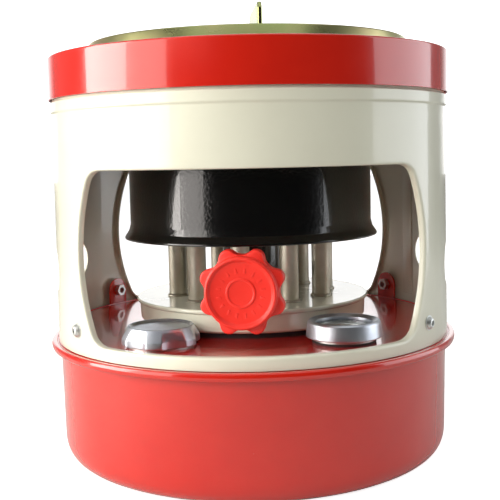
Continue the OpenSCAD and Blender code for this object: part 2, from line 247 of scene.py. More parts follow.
class Effects:
    """Shader groups that several finishes share."""

    def __init__(self) -> None:
        """Builds every group once."""
        self.peel = self._peel()
        self.mottle = self._mottle()
        self.edge_wear = self._edge_wear()
        self.dust = self._dust()
        self.grain = self._grain()

    def _peel(self) -> bpy.types.NodeTree:
        """Returns the height of sprayed paint's fine ripple, from a coarse and a fine noise."""
        t, source, sink = new_group("orange_peel", "ShaderNodeTree", {"Scale": 400.0, "Fine": 0.3},
                                    ["Height"])
        coords = t.add("ShaderNodeTexCoord").outputs["Object"]
        coarse = t.add("ShaderNodeTexNoise", Vector=coords, Scale=source.outputs["Scale"], Detail=1.0)
        fine_scale = t.math("MULTIPLY", source.outputs["Scale"], 3.1)
        fine = t.add("ShaderNodeTexNoise", Vector=coords, Scale=fine_scale, Detail=2.0)
        fine_part = t.math("MULTIPLY", fine.outputs[0], source.outputs["Fine"])
        t.tree.links.new(t.math("ADD", coarse.outputs[0], fine_part), sink.inputs["Height"])
        return t.tree

    def _mottle(self) -> bpy.types.NodeTree:
        """Returns a slow, soft variation from 0 to 1, for colour and gloss."""
        t, source, sink = new_group("mottle", "ShaderNodeTree", {"Scale": 30.0}, ["Value"])
        coords = t.add("ShaderNodeTexCoord").outputs["Object"]
        noise = t.add("ShaderNodeTexNoise", Vector=coords, Scale=source.outputs["Scale"], Detail=4.0,
                      Roughness=0.6)
        t.tree.links.new(t.remap(noise.outputs[0], 0.3, 0.7), sink.inputs["Value"])
        return t.tree

    def _edge_wear(self) -> bpy.types.NodeTree:
        """Returns a mask of chips and rubs that keep to the rounded edges."""
        t, source, sink = new_group("edge_wear", "ShaderNodeTree", {"Scale": 220.0, "Amount": 0.3}, ["Mask"])
        coords = t.add("ShaderNodeTexCoord").outputs["Object"]
        edge = t.add("ShaderNodeAttribute")
        edge.attribute_name = "edge"
        noise = t.add("ShaderNodeTexNoise", Vector=coords, Scale=source.outputs["Scale"], Detail=5.0,
                      Roughness=0.7)
        limit = t.math("SUBTRACT", 0.86, t.math("MULTIPLY", source.outputs["Amount"], 0.5))
        chips = t.math("MULTIPLY", t.math("SUBTRACT", noise.outputs[0], limit), 14.0)
        masked = t.math("MULTIPLY", chips, edge.outputs["Fac"])
        t.tree.links.new(t.remap(masked, 0.0, 1.0), sink.inputs["Mask"])
        return t.tree

    def _dust(self) -> bpy.types.NodeTree:
        """Returns a thin film of dust on faces that look up."""
        t, source, sink = new_group("dust", "ShaderNodeTree", {"Scale": 90.0, "Amount": 0.2}, ["Mask"])
        coords = t.add("ShaderNodeTexCoord").outputs["Object"]
        normal = t.add("ShaderNodeNewGeometry").outputs["Normal"]
        up = t.add("ShaderNodeSeparateXYZ", Vector=normal).outputs["Z"]
        noise = t.add("ShaderNodeTexNoise", Vector=coords, Scale=source.outputs["Scale"], Detail=6.0,
                      Roughness=0.7)
        patches = t.math("MULTIPLY", t.remap(noise.outputs[0], 0.4, 0.75), t.remap(up, 0.3, 1.0))
        t.tree.links.new(t.math("MULTIPLY", patches, source.outputs["Amount"]), sink.inputs["Mask"])
        return t.tree

    def _grain(self) -> bpy.types.NodeTree:
        """Returns fine drawing lines along Z, for rolled and drawn metal."""
        t, source, sink = new_group("grain", "ShaderNodeTree", {"Scale": 900.0, "Stretch": 0.05}, ["Height"])
        coords = t.add("ShaderNodeTexCoord").outputs["Object"]
        stretch = t.add("ShaderNodeCombineXYZ", X=1.0, Y=1.0, Z=source.outputs["Stretch"]).outputs[0]
        scaled = t.vector_math("MULTIPLY", coords, stretch).outputs[0]
        noise = t.add("ShaderNodeTexNoise", Vector=scaled, Scale=source.outputs["Scale"], Detail=3.0)
        t.tree.links.new(noise.outputs[0], sink.inputs["Height"])
        return t.tree


class Finish:
    """Base of every finish: one material with a Principled shader, and short ways to drive it."""

    def __init__(self, name: str, effects: Effects) -> None:
        """Starts the material.

        Args:
            name: The material's name.
            effects: The shared shader groups.
        """
        self.material = bpy.data.materials.new(name)
        self.material.use_nodes = True
        self.tree = Tree(self.material.node_tree)
        self.shader = self.material.node_tree.nodes["Principled BSDF"]
        self.effects = effects

    def effect(self, group: bpy.types.NodeTree, **values: float) -> bpy.types.NodeSocket:
        """Places a shared group.

        Args:
            group: The group to place.
            **values: Its inputs.

        Returns:
            The group's first output.
        """
        node = self.tree.tree.nodes.new("ShaderNodeGroup")
        node.node_tree = group
        for label, value in values.items():
            node.inputs[label].default_value = value
        return node.outputs[0]

    def bump(self, height: bpy.types.NodeSocket, strength: float, distance: float) -> None:
        """Adds a bump on top of any earlier one.

        Args:
            height: The height's socket.
            strength: The bump's strength.
            distance: The height of a full step, in metres.
        """
        node = self.tree.add("ShaderNodeBump", Height=height, Strength=strength, Distance=distance)
        socket = self.shader.inputs["Normal"]
        if socket.is_linked:
            self.tree.tree.links.new(socket.links[0].from_socket, node.inputs["Normal"])
        self.tree.tree.links.new(node.outputs[0], socket)

    def set(self, **values: object) -> None:
        """Sets the shader's own sockets.

        Args:
            **values: Socket values or source sockets.
        """
        self.tree.fill(self.shader, **values)


@dataclass(frozen=True)
class Enamel:
    """Baked enamel on sheet steel: clear gloss over a faintly uneven colour."""

    name: str
    colour: tuple[float, float, float]
    shade: tuple[float, float, float]
    roughness: float = 0.16
    peel_scale: float = 420.0
    peel: float = 0.10
    fine: float = 0.3
    step: float = 0.0002
    wear: float = 0.25
    bare: tuple[float, float, float] = (0.32, 0.30, 0.28)
    coat: float = 0.6
    dust: float = 0.10

    def build(self, effects: Effects) -> bpy.types.Material:
        """Builds the material.

        Args:
            effects: The shared shader groups.

        Returns:
            The finished material.
        """
        f = Finish(self.name, effects)
        mottle = f.effect(effects.mottle, Scale=26.0)
        colour = f.tree.mix_colour(mottle, (*self.shade, 1), (*self.colour, 1))
        wear = f.effect(effects.edge_wear, Scale=260.0, Amount=self.wear)
        dust = f.effect(effects.dust, Scale=140.0, Amount=self.dust)
        chipped = f.tree.mix_colour(wear, colour, (*self.bare, 1))
        f.set(Base_Color=f.tree.mix_colour(dust, chipped, (0.55, 0.52, 0.47, 1)))
        rough = f.tree.math("ADD", f.tree.remap(mottle, 0, 1, (self.roughness, self.roughness * 1.35)),
                            f.tree.math("MULTIPLY", f.tree.math("ADD", wear, dust), 0.4))
        f.set(Roughness=rough, Coat_Weight=self.coat, Coat_Roughness=0.04, IOR=1.52)
        f.bump(f.effect(effects.peel, Scale=self.peel_scale, Fine=self.fine), self.peel, self.step)
        return f.material


@dataclass(frozen=True)
class Metal:
    """Plated or bare metal with drawing lines, a soft tint variation and rubbed edges."""

    name: str
    colour: tuple[float, float, float]
    tint: tuple[float, float, float]
    roughness: float = 0.25
    spread: float = 0.12
    grain_scale: float = 700.0
    stretch: float = 0.06
    grain: float = 0.12
    wear: float = 0.2
    mottle_scale: float = 60.0
    bright: tuple[float, float, float] = (0.75, 0.75, 0.74)
    dust: float = 0.08

    def build(self, effects: Effects) -> bpy.types.Material:
        """Builds the material.

        Args:
            effects: The shared shader groups.

        Returns:
            The finished material.
        """
        f = Finish(self.name, effects)
        mottle = f.effect(effects.mottle, Scale=self.mottle_scale)
        wear = f.effect(effects.edge_wear, Scale=320.0, Amount=self.wear)
        dust = f.effect(effects.dust, Scale=160.0, Amount=self.dust)
        plated = f.tree.mix_colour(mottle, (*self.colour, 1), (*self.tint, 1))
        rubbed = f.tree.mix_colour(wear, plated, (*self.bright, 1))
        f.set(Base_Color=f.tree.mix_colour(dust, rubbed, (0.4, 0.38, 0.34, 1)))
        rough = f.tree.remap(mottle, 0, 1, (self.roughness, self.roughness + self.spread))
        f.set(Roughness=f.tree.math("ADD", rough, f.tree.math("MULTIPLY", dust, 0.5)))
        f.set(Metallic=1.0)
        f.bump(f.effect(effects.grain, Scale=self.grain_scale, Stretch=self.stretch), self.grain, 0.0001)
        return f.material


@dataclass(frozen=True)
class Soft:
    """Non-metal such as moulded plastic, rubber, cork, cotton or print, with its own grain."""

    name: str
    colour: tuple[float, float, float]
    shade: tuple[float, float, float]
    roughness: float = 0.4
    peel_scale: float = 600.0
    peel: float = 0.15
    fine: float = 0.5
    mottle_scale: float = 80.0
    sheen: float = 0.0
    subsurface: float = 0.0
    wear: float = 0.1
    worn: tuple[float, float, float] = (0.6, 0.5, 0.45)

    def build(self, effects: Effects) -> bpy.types.Material:
        """Builds the material.

        Args:
            effects: The shared shader groups.

        Returns:
            The finished material.
        """
        f = Finish(self.name, effects)
        mottle = f.effect(effects.mottle, Scale=self.mottle_scale)
        wear = f.effect(effects.edge_wear, Scale=300.0, Amount=self.wear)
        colour = f.tree.mix_colour(mottle, (*self.shade, 1), (*self.colour, 1))
        f.set(Base_Color=f.tree.mix_colour(wear, colour, (*self.worn, 1)))
        f.set(Roughness=f.tree.remap(mottle, 0, 1, (self.roughness, self.roughness * 1.25)))
        f.set(Sheen_Weight=self.sheen, Subsurface_Weight=self.subsurface, IOR=1.5)
        f.shader.inputs["Subsurface Radius"].default_value = (0.002, 0.0008, 0.0005)
        f.bump(f.effect(effects.peel, Scale=self.peel_scale, Fine=self.fine), self.peel, 0.0003)
        return f.material


@dataclass(frozen=True)
class Glass:
    """Clear gauge window with a faint ripple."""

    name: str

    def build(self, effects: Effects) -> bpy.types.Material:
        """Builds the material.

        Args:
            effects: The shared shader groups.

        Returns:
            The finished material.
        """
        f = Finish(self.name, effects)
        f.set(Base_Color=(0.93, 0.97, 0.96, 1), Metallic=0.0, Transmission_Weight=0.95, IOR=1.46,
              Roughness=0.04)
        f.bump(f.effect(effects.peel, Scale=60.0, Fine=0.1), 0.02, 0.0002)
        return f.material


RED_LIGHT, RED_DEEP = (0.63, 0.018, 0.007), (0.58, 0.014, 0.006)
FINISHES = {
    Slot.RED: Enamel("red_enamel_gloss", RED_LIGHT, RED_DEEP, roughness=0.17, peel=0.07, coat=0.8),
    Slot.CREAM: Enamel("cream_enamel_gloss", (0.79, 0.785, 0.63), (0.765, 0.755, 0.605), roughness=0.2,
                       peel=0.08, bare=(0.30, 0.26, 0.22), wear=0.15),
    Slot.BLACK: Enamel("black_pebbled_enamel", (0.004, 0.004, 0.0036), (0.003, 0.003, 0.003), roughness=0.17,
                       peel_scale=640.0, peel=0.3, fine=0.1, step=0.0005, bare=(0.2, 0.19, 0.18), coat=0.8,
                       dust=0.01),
    Slot.GOLD: Metal("yellow_zinc_passivate", (0.30, 0.46, 0.14), (0.80, 0.62, 0.36), roughness=0.22,
                     mottle_scale=11.0, bright=(0.72, 0.70, 0.50)),
    Slot.BRIGHT: Metal("bright_plated_steel", (0.70, 0.74, 0.80), (0.62, 0.67, 0.75), roughness=0.36,
                       spread=0.06),
    Slot.ZINC: Metal("clear_zinc_plate", (0.74, 0.76, 0.74), (0.66, 0.68, 0.66), roughness=0.4),
    # The tube steel's warm beige colours are partly the steel's own dull tone and partly painted reflection of the
    # cream base pan and casing round the tubes.
    Slot.TUBE: Metal("dull_tube_steel_painted_cream_reflection", (0.78, 0.74, 0.64), (0.66, 0.62, 0.52), roughness=0.48, grain=0.2),
    Slot.FLAME: Metal("flame_sleeve_steel", (0.36, 0.34, 0.32), (0.22, 0.20, 0.19), roughness=0.38,
                      spread=0.2),
    Slot.DARK: Metal("dark_oiled_steel", (0.12, 0.12, 0.13), (0.08, 0.08, 0.09), roughness=0.35),
    Slot.BRASS: Metal("turned_brass", (0.72, 0.52, 0.22), (0.60, 0.42, 0.18), roughness=0.22,
                      bright=(0.8, 0.66, 0.4)),
    Slot.KNOB: Soft("moulded_orange_plastic", (0.90, 0.036, 0.022), (0.84, 0.030, 0.018), roughness=0.33,
                    peel_scale=900.0, peel=0.08, subsurface=0.08, worn=(0.95, 0.25, 0.18)),
    Slot.SEAL: Soft("black_seal_rubber", (0.030, 0.030, 0.030), (0.018, 0.018, 0.018), roughness=0.6,
                    peel=0.3),
    Slot.GLASS: Glass("gauge_window_glass"),
    Slot.DIAL: Soft("dial_print_white", (0.80, 0.79, 0.74), (0.75, 0.74, 0.69), roughness=0.5),
    Slot.POINTER: Soft("pointer_paint_red", (0.70, 0.03, 0.02), (0.6, 0.02, 0.02), roughness=0.35),
    Slot.WICK: Soft("plaited_cotton", (0.78, 0.74, 0.64), (0.52, 0.47, 0.38), roughness=0.9,
                    peel_scale=1400.0, peel=0.9, fine=0.8, mottle_scale=700.0, sheen=0.3),
    Slot.CORK: Soft("varnished_cork", (0.50, 0.32, 0.17), (0.30, 0.17, 0.09), roughness=0.5,
                    peel_scale=500.0, peel=0.5, mottle_scale=500.0),
}


# ---------------------------------------------------------------- mesh helpers


def placed(name: str, data: bpy.types.ID) -> bpy.types.Object:
    """Adds data to the scene as an object of its own.

    Args:
        name: The object's name.
        data: Its mesh, lamp or camera.

    Returns:
        The new object.
    """
    obj = bpy.data.objects.new(name, data)
    bpy.context.scene.collection.objects.link(obj)
    return obj


def baked(obj: bpy.types.Object) -> None:
    """Replaces an object's mesh by what its modifiers make of it, and removes them.

    Args:
        obj: The object.
    """
    depsgraph = bpy.context.evaluated_depsgraph_get()
    mesh = bpy.data.meshes.new_from_object(obj.evaluated_get(depsgraph), depsgraph=depsgraph)
    obj.modifiers.clear()
    old, obj.data = obj.data, mesh
    bpy.data.meshes.remove(old)


def rounded(corners: Sequence[Corner], closed: bool = True, steps: int = 6) -> list[Corner]:
    """Rounds an outline's corners with arcs.

    Args:
        corners: Points as (r, z, corner radius), in millimetres.
        closed: Whether the last point joins the first.
        steps: Segments in each arc.

    Returns:
        Points as (r, z, edge), where edge is 1 on an arc and 0 elsewhere.
    """
    points: list[Corner] = []
    count = len(corners)
    for i, (x, y, radius) in enumerate(corners):
        inner = closed or 0 < i < count - 1
        here = Vector((x, y))
        if radius <= 0 or not inner:
            points.append((x, y, 0.0))
            continue
        before = Vector(corners[i - 1][:2]) - here
        after = Vector(corners[(i + 1) % count][:2]) - here
        half = before.angle(after) / 2
        reach = min(radius / math.tan(half), before.length * 0.49, after.length * 0.49)
        start, end = here + before.normalized() * reach, here + after.normalized() * reach
        for k in range(steps + 1):
            t = k / steps
            curve = start * (1 - t) ** 2 + here * 2 * t * (1 - t) + end * t ** 2
            points.append((curve.x, curve.y, 1.0))
    return points


def mesh_object(name: str, bm: bmesh.types.BMesh, sharp: float = 40.0) -> bpy.types.Object:
    """Turns a bmesh in millimetres into a smooth object in metres with outward faces.

    Args:
        name: The object's name.
        bm: The mesh, which is freed.
        sharp: Angle over which an edge stays sharp, in degrees.

    Returns:
        The new object.
    """
    bmesh.ops.remove_doubles(bm, verts=bm.verts, dist=1e-4)
    bmesh.ops.recalc_face_normals(bm, faces=bm.faces)
    bmesh.ops.scale(bm, vec=(MM, MM, MM), verts=bm.verts)
    mesh = bpy.data.meshes.new(name)
    bm.to_mesh(mesh)
    bm.free()
    mesh.shade_smooth()
    mesh.set_sharp_from_angle(angle=math.radians(sharp))
    return placed(name, mesh)


def sweep(rings: Sequence[Sequence[Vector]], edges: Sequence[float],
          closed: bool = True) -> bmesh.types.BMesh:
    """Joins rings of points into a surface.

    Args:
        rings: One closed ring of points for each outline point.
        edges: The edge value of each ring.
        closed: Whether the last ring joins the first.

    Returns:
        The mesh.
    """
    bm = bmesh.new()
    edge = bm.verts.layers.float.new("edge")
    rows = []
    for ring, value in zip(rings, edges):
        row = [bm.verts.new(p) for p in ring]
        for v in row:
            v[edge] = value
        rows.append(row)
    count = len(rows[0])
    for i in range(len(rows) if closed else len(rows) - 1):
        a, b = rows[i], rows[(i + 1) % len(rows)]
        for k in range(count):
            n = (k + 1) % count
            bm.faces.new((a[k], a[n], b[n], b[k]))
    return bm


def lathe_mesh(outline: Sequence[Corner], segments: int = 192, closed: bool = True,
               shape: Callable[[float, Corner], float] | None = None) -> bmesh.types.BMesh:
    """Turns an outline about the Z axis.

    Args:
        outline: Points as (r, z, edge), in millimetres.
        segments: Number of steps round.
        closed: Whether the outline is a loop.
        shape: Optional radius at an angle for an outline point, for scallops and lobes.

    Returns:
        The mesh.
    """
    angles = [TAU * k / segments for k in range(segments)]
    rings = []
    for point in outline:
        radii = [shape(a, point) if shape else point[0] for a in angles]
        rings.append([Vector((r * math.sin(a), -r * math.cos(a), point[1])) for a, r in zip(angles, radii)])
    return sweep(rings, [p[2] for p in outline], closed)


def lathe(name: str, corners: Sequence[Corner], centre: Point = (0.0, 0.0), segments: int = 192,
          closed: bool = True, steps: int = 6) -> bpy.types.Object:
    """Makes a turned piece standing at a centre.

    Args:
        name: The object's name.
        corners: Points as (r, z, corner radius), in millimetres.
        centre: The axis's place in X and Y, in millimetres.
        segments: Number of steps round.
        closed: Whether the outline is a loop; if not, it starts and ends on the axis.
        steps: Segments in each rounded corner.

    Returns:
        The new object.
    """
    bm = lathe_mesh(rounded(corners, closed, steps), segments, closed)
    bmesh.ops.translate(bm, vec=(*centre, 0), verts=bm.verts)
    return mesh_object(name, bm)


def prism(name: str, outline: Sequence[Point], low: float, high: float, bevel: float = 0.3,
          matrix: Matrix | None = None) -> bpy.types.Object:
    """Extrudes an outline and rounds its edges.

    Args:
        name: The object's name.
        outline: Points in X and Y, in millimetres.
        low: Height of the lower face.
        high: Height of the upper face.
        bevel: Radius of the rounded edges.
        matrix: Place of the prism.

    Returns:
        The new object.
    """
    bm = bmesh.new()
    edge = bm.verts.layers.float.new("edge")
    base = bm.faces.new([bm.verts.new((x, y, low)) for x, y in outline])
    made = bmesh.ops.extrude_face_region(bm, geom=[base])
    tops = [v for v in made["geom"] if isinstance(v, bmesh.types.BMVert)]
    bmesh.ops.translate(bm, vec=(0, 0, high - low), verts=tops)
    bmesh.ops.recalc_face_normals(bm, faces=bm.faces)
    sharp = [e for e in bm.edges if e.calc_face_angle(0) > 0.6]
    if bevel:
        bmesh.ops.bevel(bm, geom=sharp, offset=bevel, segments=3, affect="EDGES", profile=0.5)
        for v in bm.verts:
            v[edge] = 1.0
    if matrix:
        bmesh.ops.transform(bm, matrix=matrix, verts=bm.verts)
    return mesh_object(name, bm, 30.0)


def joined(name: str, parts: Sequence[bpy.types.Object]) -> bpy.types.Object:
    """Joins objects into one mesh object.

    Args:
        name: The joined object's name.
        parts: The objects, which are used up.

    Returns:
        The joined object.
    """
    bm = bmesh.new()
    for part in parts:
        bm.from_mesh(part.data)
    mesh = bpy.data.meshes.new(name)
    bm.to_mesh(mesh)
    bm.free()
    mesh.shade_smooth()
    mesh.set_sharp_from_angle(angle=math.radians(40))
    for part in parts:
        bpy.data.objects.remove(part)
    return placed(name, mesh)


# ---------------------------------------------------------------- repeats by geometry nodes


class Repeats:
    """Geometry node trees that repeat one item, and their use."""

    def __init__(self) -> None:
        """Builds the trees."""
        self.ring = self._tree("ring_of_items", {"Count": 4.0, "Radius": 0.0, "Start": 0.0, "Step": 0.0,
                                                 "Height": 0.0})
        self.wall = self._tree("wall_of_cells", {"Count": 4.0, "Radius": 0.0, "Start": 0.0, "Step": 0.0,
                                                 "Height": 0.0, "Columns": 36.0, "Rise": 0.004})

    def _tree(self, name: str, inputs: dict[str, float]) -> bpy.types.NodeTree:
        """Builds a tree that repeats its input mesh round the Z axis, and in rows if it has columns.

        Args:
            name: The tree's name.
            inputs: Its inputs and their defaults, in metres and degrees.

        Returns:
            The tree.
        """
        tree = bpy.data.node_groups.new(name, "GeometryNodeTree")
        tree.interface.new_socket(name="Item", in_out="INPUT", socket_type="NodeSocketGeometry")
        for label, value in inputs.items():
            tree.interface.new_socket(name=label, in_out="INPUT",
                                      socket_type="NodeSocketFloat").default_value = value
        tree.interface.new_socket(name="Finish", in_out="INPUT", socket_type="NodeSocketMaterial")
        tree.interface.new_socket(name="Pieces", in_out="OUTPUT", socket_type="NodeSocketGeometry")
        t = Tree(tree)
        source, sink = t.add("NodeGroupInput"), t.add("NodeGroupOutput")
        o = source.outputs
        index = t.add("GeometryNodeInputIndex").outputs[0]
        column, row_height = index, o["Height"]
        if "Columns" in inputs:
            row = t.math("FLOOR", t.math("DIVIDE", index, o["Columns"]))
            shift = t.math("MULTIPLY", t.math("MODULO", row, 2.0), 0.5)
            column = t.math("ADD", t.math("MODULO", index, o["Columns"]), shift)
            row_height = t.math("ADD", o["Height"], t.math("MULTIPLY", row, o["Rise"]))
        degrees = t.math("ADD", o["Start"], t.math("MULTIPLY", column, o["Step"]))
        angle = t.math("RADIANS", degrees)
        x = t.math("MULTIPLY", o["Radius"], t.math("SINE", angle))
        y = t.math("MULTIPLY", o["Radius"], t.math("MULTIPLY", t.math("COSINE", angle), -1.0))
        place = t.add("ShaderNodeCombineXYZ", X=x, Y=y, Z=row_height).outputs[0]
        turn = t.add("ShaderNodeCombineXYZ", Z=angle).outputs[0]
        points = t.add("GeometryNodePoints", Count=o["Count"], Position=place)
        items = t.add("GeometryNodeInstanceOnPoints", Points=points.outputs[0], Instance=o["Item"],
                      Rotation=turn)
        real = t.add("GeometryNodeRealizeInstances", Geometry=items.outputs[0])
        welded = t.add("GeometryNodeMergeByDistance", Geometry=real.outputs[0], Distance=2e-6)
        dressed = t.add("GeometryNodeSetMaterial", Geometry=welded.outputs[0], Material=o["Finish"])
        tree.links.new(dressed.outputs[0], sink.inputs["Pieces"])
        return tree

    def run(self, item: bpy.types.Object, tree: bpy.types.NodeTree, finish: bpy.types.Material,
            **values: float) -> bpy.types.Object:
        """Runs a tree on an item and keeps the result as a plain mesh.

        Args:
            item: The item, whose mesh is replaced by the repeats.
            tree: The tree to run.
            finish: The material that the tree sets.
            **values: The tree's inputs.

        Returns:
            The item's object with the repeated mesh.
        """
        modifier = item.modifiers.new("repeat", "NODES")
        modifier.node_group = tree
        for socket in tree.interface.items_tree:
            if socket.in_out == "INPUT" and socket.name in values:
                modifier[socket.identifier] = float(values[socket.name])
            elif socket.in_out == "INPUT" and socket.name == "Finish":
                modifier[socket.identifier] = finish
        baked(item)
        return item


class Shop:
    """What every sub-assembly needs: finishes, repeats and the way to hand a piece in."""

    def __init__(self) -> None:
        """Builds the finishes and the trees."""
        effects = Effects()
        self.finish = {slot: recipe.build(effects) for slot, recipe in FINISHES.items()}
        self.repeats = Repeats()

    def done(self, piece: bpy.types.Object, slot: Slot, body: Body, *nodes: str) -> bpy.types.Object:
        """Finishes a piece: its material, its body and the frame nodes that it stands for.

        Args:
            piece: The piece, in place.
            slot: Its finish.
            body: The body that it moves with.
            *nodes: Frame nodes that it replaces.

        Returns:
            The piece.
        """
        piece.data.materials.clear()
        piece.data.materials.append(self.finish[slot])
        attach(piece, body.value)
        if nodes:
            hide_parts(*nodes)
        log.info("%s: %d faces on %s", piece.name, len(piece.data.polygons), body.value)
        return piece

    def ring(self, item: bpy.types.Object, slot: Slot, count: int, radius: float, start: float, step: float,
             height: float = 0.0) -> bpy.types.Object:
        """Repeats an item round the stove's axis.

        Args:
            item: The item at the origin, with -Y outwards.
            slot: Its finish.
            count: How many.
            radius: Radius of the ring, in millimetres.
            start: Angle of the first, in degrees from the front.
            step: Angle between two, in degrees.
            height: Height of the ring, in millimetres.

        Returns:
            The repeated piece.
        """
        return self.repeats.run(item, self.repeats.ring, self.finish[slot], Count=count, Radius=radius * MM,
                                Start=start, Step=step, Height=height * MM)


def node_box(node: str) -> tuple[Vector, Vector]:
    """Returns a frame node's lowest and highest corners, in millimetres."""
    low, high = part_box(node)
    return low * 1000, high * 1000


def middle(node: str) -> Vector:
    """Returns the middle of a frame node's box, in millimetres."""
    low, high = node_box(node)
    return (low + high) / 2


RIM = node_box("casing")[0].z
FLOOR = node_box("seal_ring")[0].z
TAB_ANGLES = (-54.4, 125.0)
TAB_STEPS = (108.8, 110.0)
SCREW_HEIGHTS = (RIM + 13.2, RIM + 15.6)
BURNER_TURN = -8.3


# ---------------------------------------------------------------- tank


@dataclass
class Tank:
    """Pressed fuel tank: the shell, the lid with its seam, and the casing's tabs."""

    shop: Shop
    wall: float = 118.7
    sheet: float = 1.0
    fillet: float = 19.0
    foot: float = 88.0
    bead: float = node_box("tank_top")[1].x
    collar: float = 115.9
    tab: float = 8.2

    def shell(self) -> None:
        """Makes the drawn shell with its foot ring and rolled rim."""
        w, s, top = self.wall, self.sheet, RIM - 4.9
        outer = [(0, 2, 0), (self.foot - 5, 2, 3), (self.foot, 0, 3), (w - 0.6, 0, self.fillet),
                 (w, RIM - 20, 6), (w + 0.3, top, 0.8), (self.bead - 1.4, top + 0.2, 0.6),
                 (self.bead - 1.4, top + 1.2, 0.4)]
        inner = [(w + 0.2 - s, top + 1.4, 0.8), (w - s, RIM - 20, 6), (w - 0.6 - s, s, self.fillet - s),
                 (self.foot + 0.5, s, 2), (self.foot - 4.5, 2 + s, 2), (0, 2 + s, 0)]
        piece = lathe("tank_bowl", outer + inner, closed=False, segments=256, steps=10)
        self.shop.done(piece, Slot.RED, Body.STOVE, "tank_shell")

    def lid(self) -> None:
        """Makes the lid: flat floor, raised collar and the seam's bead with its groove."""
        b, f, c = self.bead, FLOOR, self.collar
        corners = [(58, f - 1, 0.3), (c - 1, f - 1, 0.3), (c - 1, RIM - 3.8, 0.4), (b - 3.4, RIM - 3.8, 0.4),
                   (b - 3.0, RIM - 4.8, 1.0), (b - 0.4, RIM - 4.7, 1.8), (b, RIM - 2.4, 1.6),
                   (b - 0.4, RIM - 0.2, 1.8), (121.3, RIM - 0.1, 1.0), (120.9, RIM - 1.3, 0.3),
                   (120.3, RIM - 1.3, 0.4), (119.9, RIM - 0.5, 0.5), (c + 0.4, RIM - 0.4, 0.5),
                   (c, RIM + 1, 0.4), (c, f + 0.6, 0.3), (c - 1.6, f + 0.6, 0.3), (c - 1.6, f, 0.3),
                   (58, f, 0.3)]
        piece = lathe("tank_lid", corners, segments=256, steps=5)
        self.shop.done(piece, Slot.RED, Body.STOVE, "tank_top")

    def tabs(self) -> None:
        """Makes the four rounded tabs that the casing is screwed to."""
        pieces = []
        for start, step, z in zip(TAB_ANGLES, TAB_STEPS, SCREW_HEIGHTS):
            r = self.tab
            arc = [(r * math.cos(a), z + r * math.sin(a)) for a in np.linspace(0, math.pi, 16)]
            outline = [(r, FLOOR + 0.5)] + arc + [(-r, FLOOR + 0.5)]
            item = prism("tab", outline, 0, 1.2, 0.35, Matrix.Rotation(math.pi / 2, 4, "X"))
            pieces.append(self.shop.ring(item, Slot.RED, 2, self.collar - 1.2, start, step))
        self.shop.done(joined("casing_tab_set", pieces), Slot.RED, Body.STOVE, "casing_tabs")

    def build(self) -> None:
        """Builds the tank."""
        self.shell()
        self.lid()
        self.tabs()


# ---------------------------------------------------------------- casing


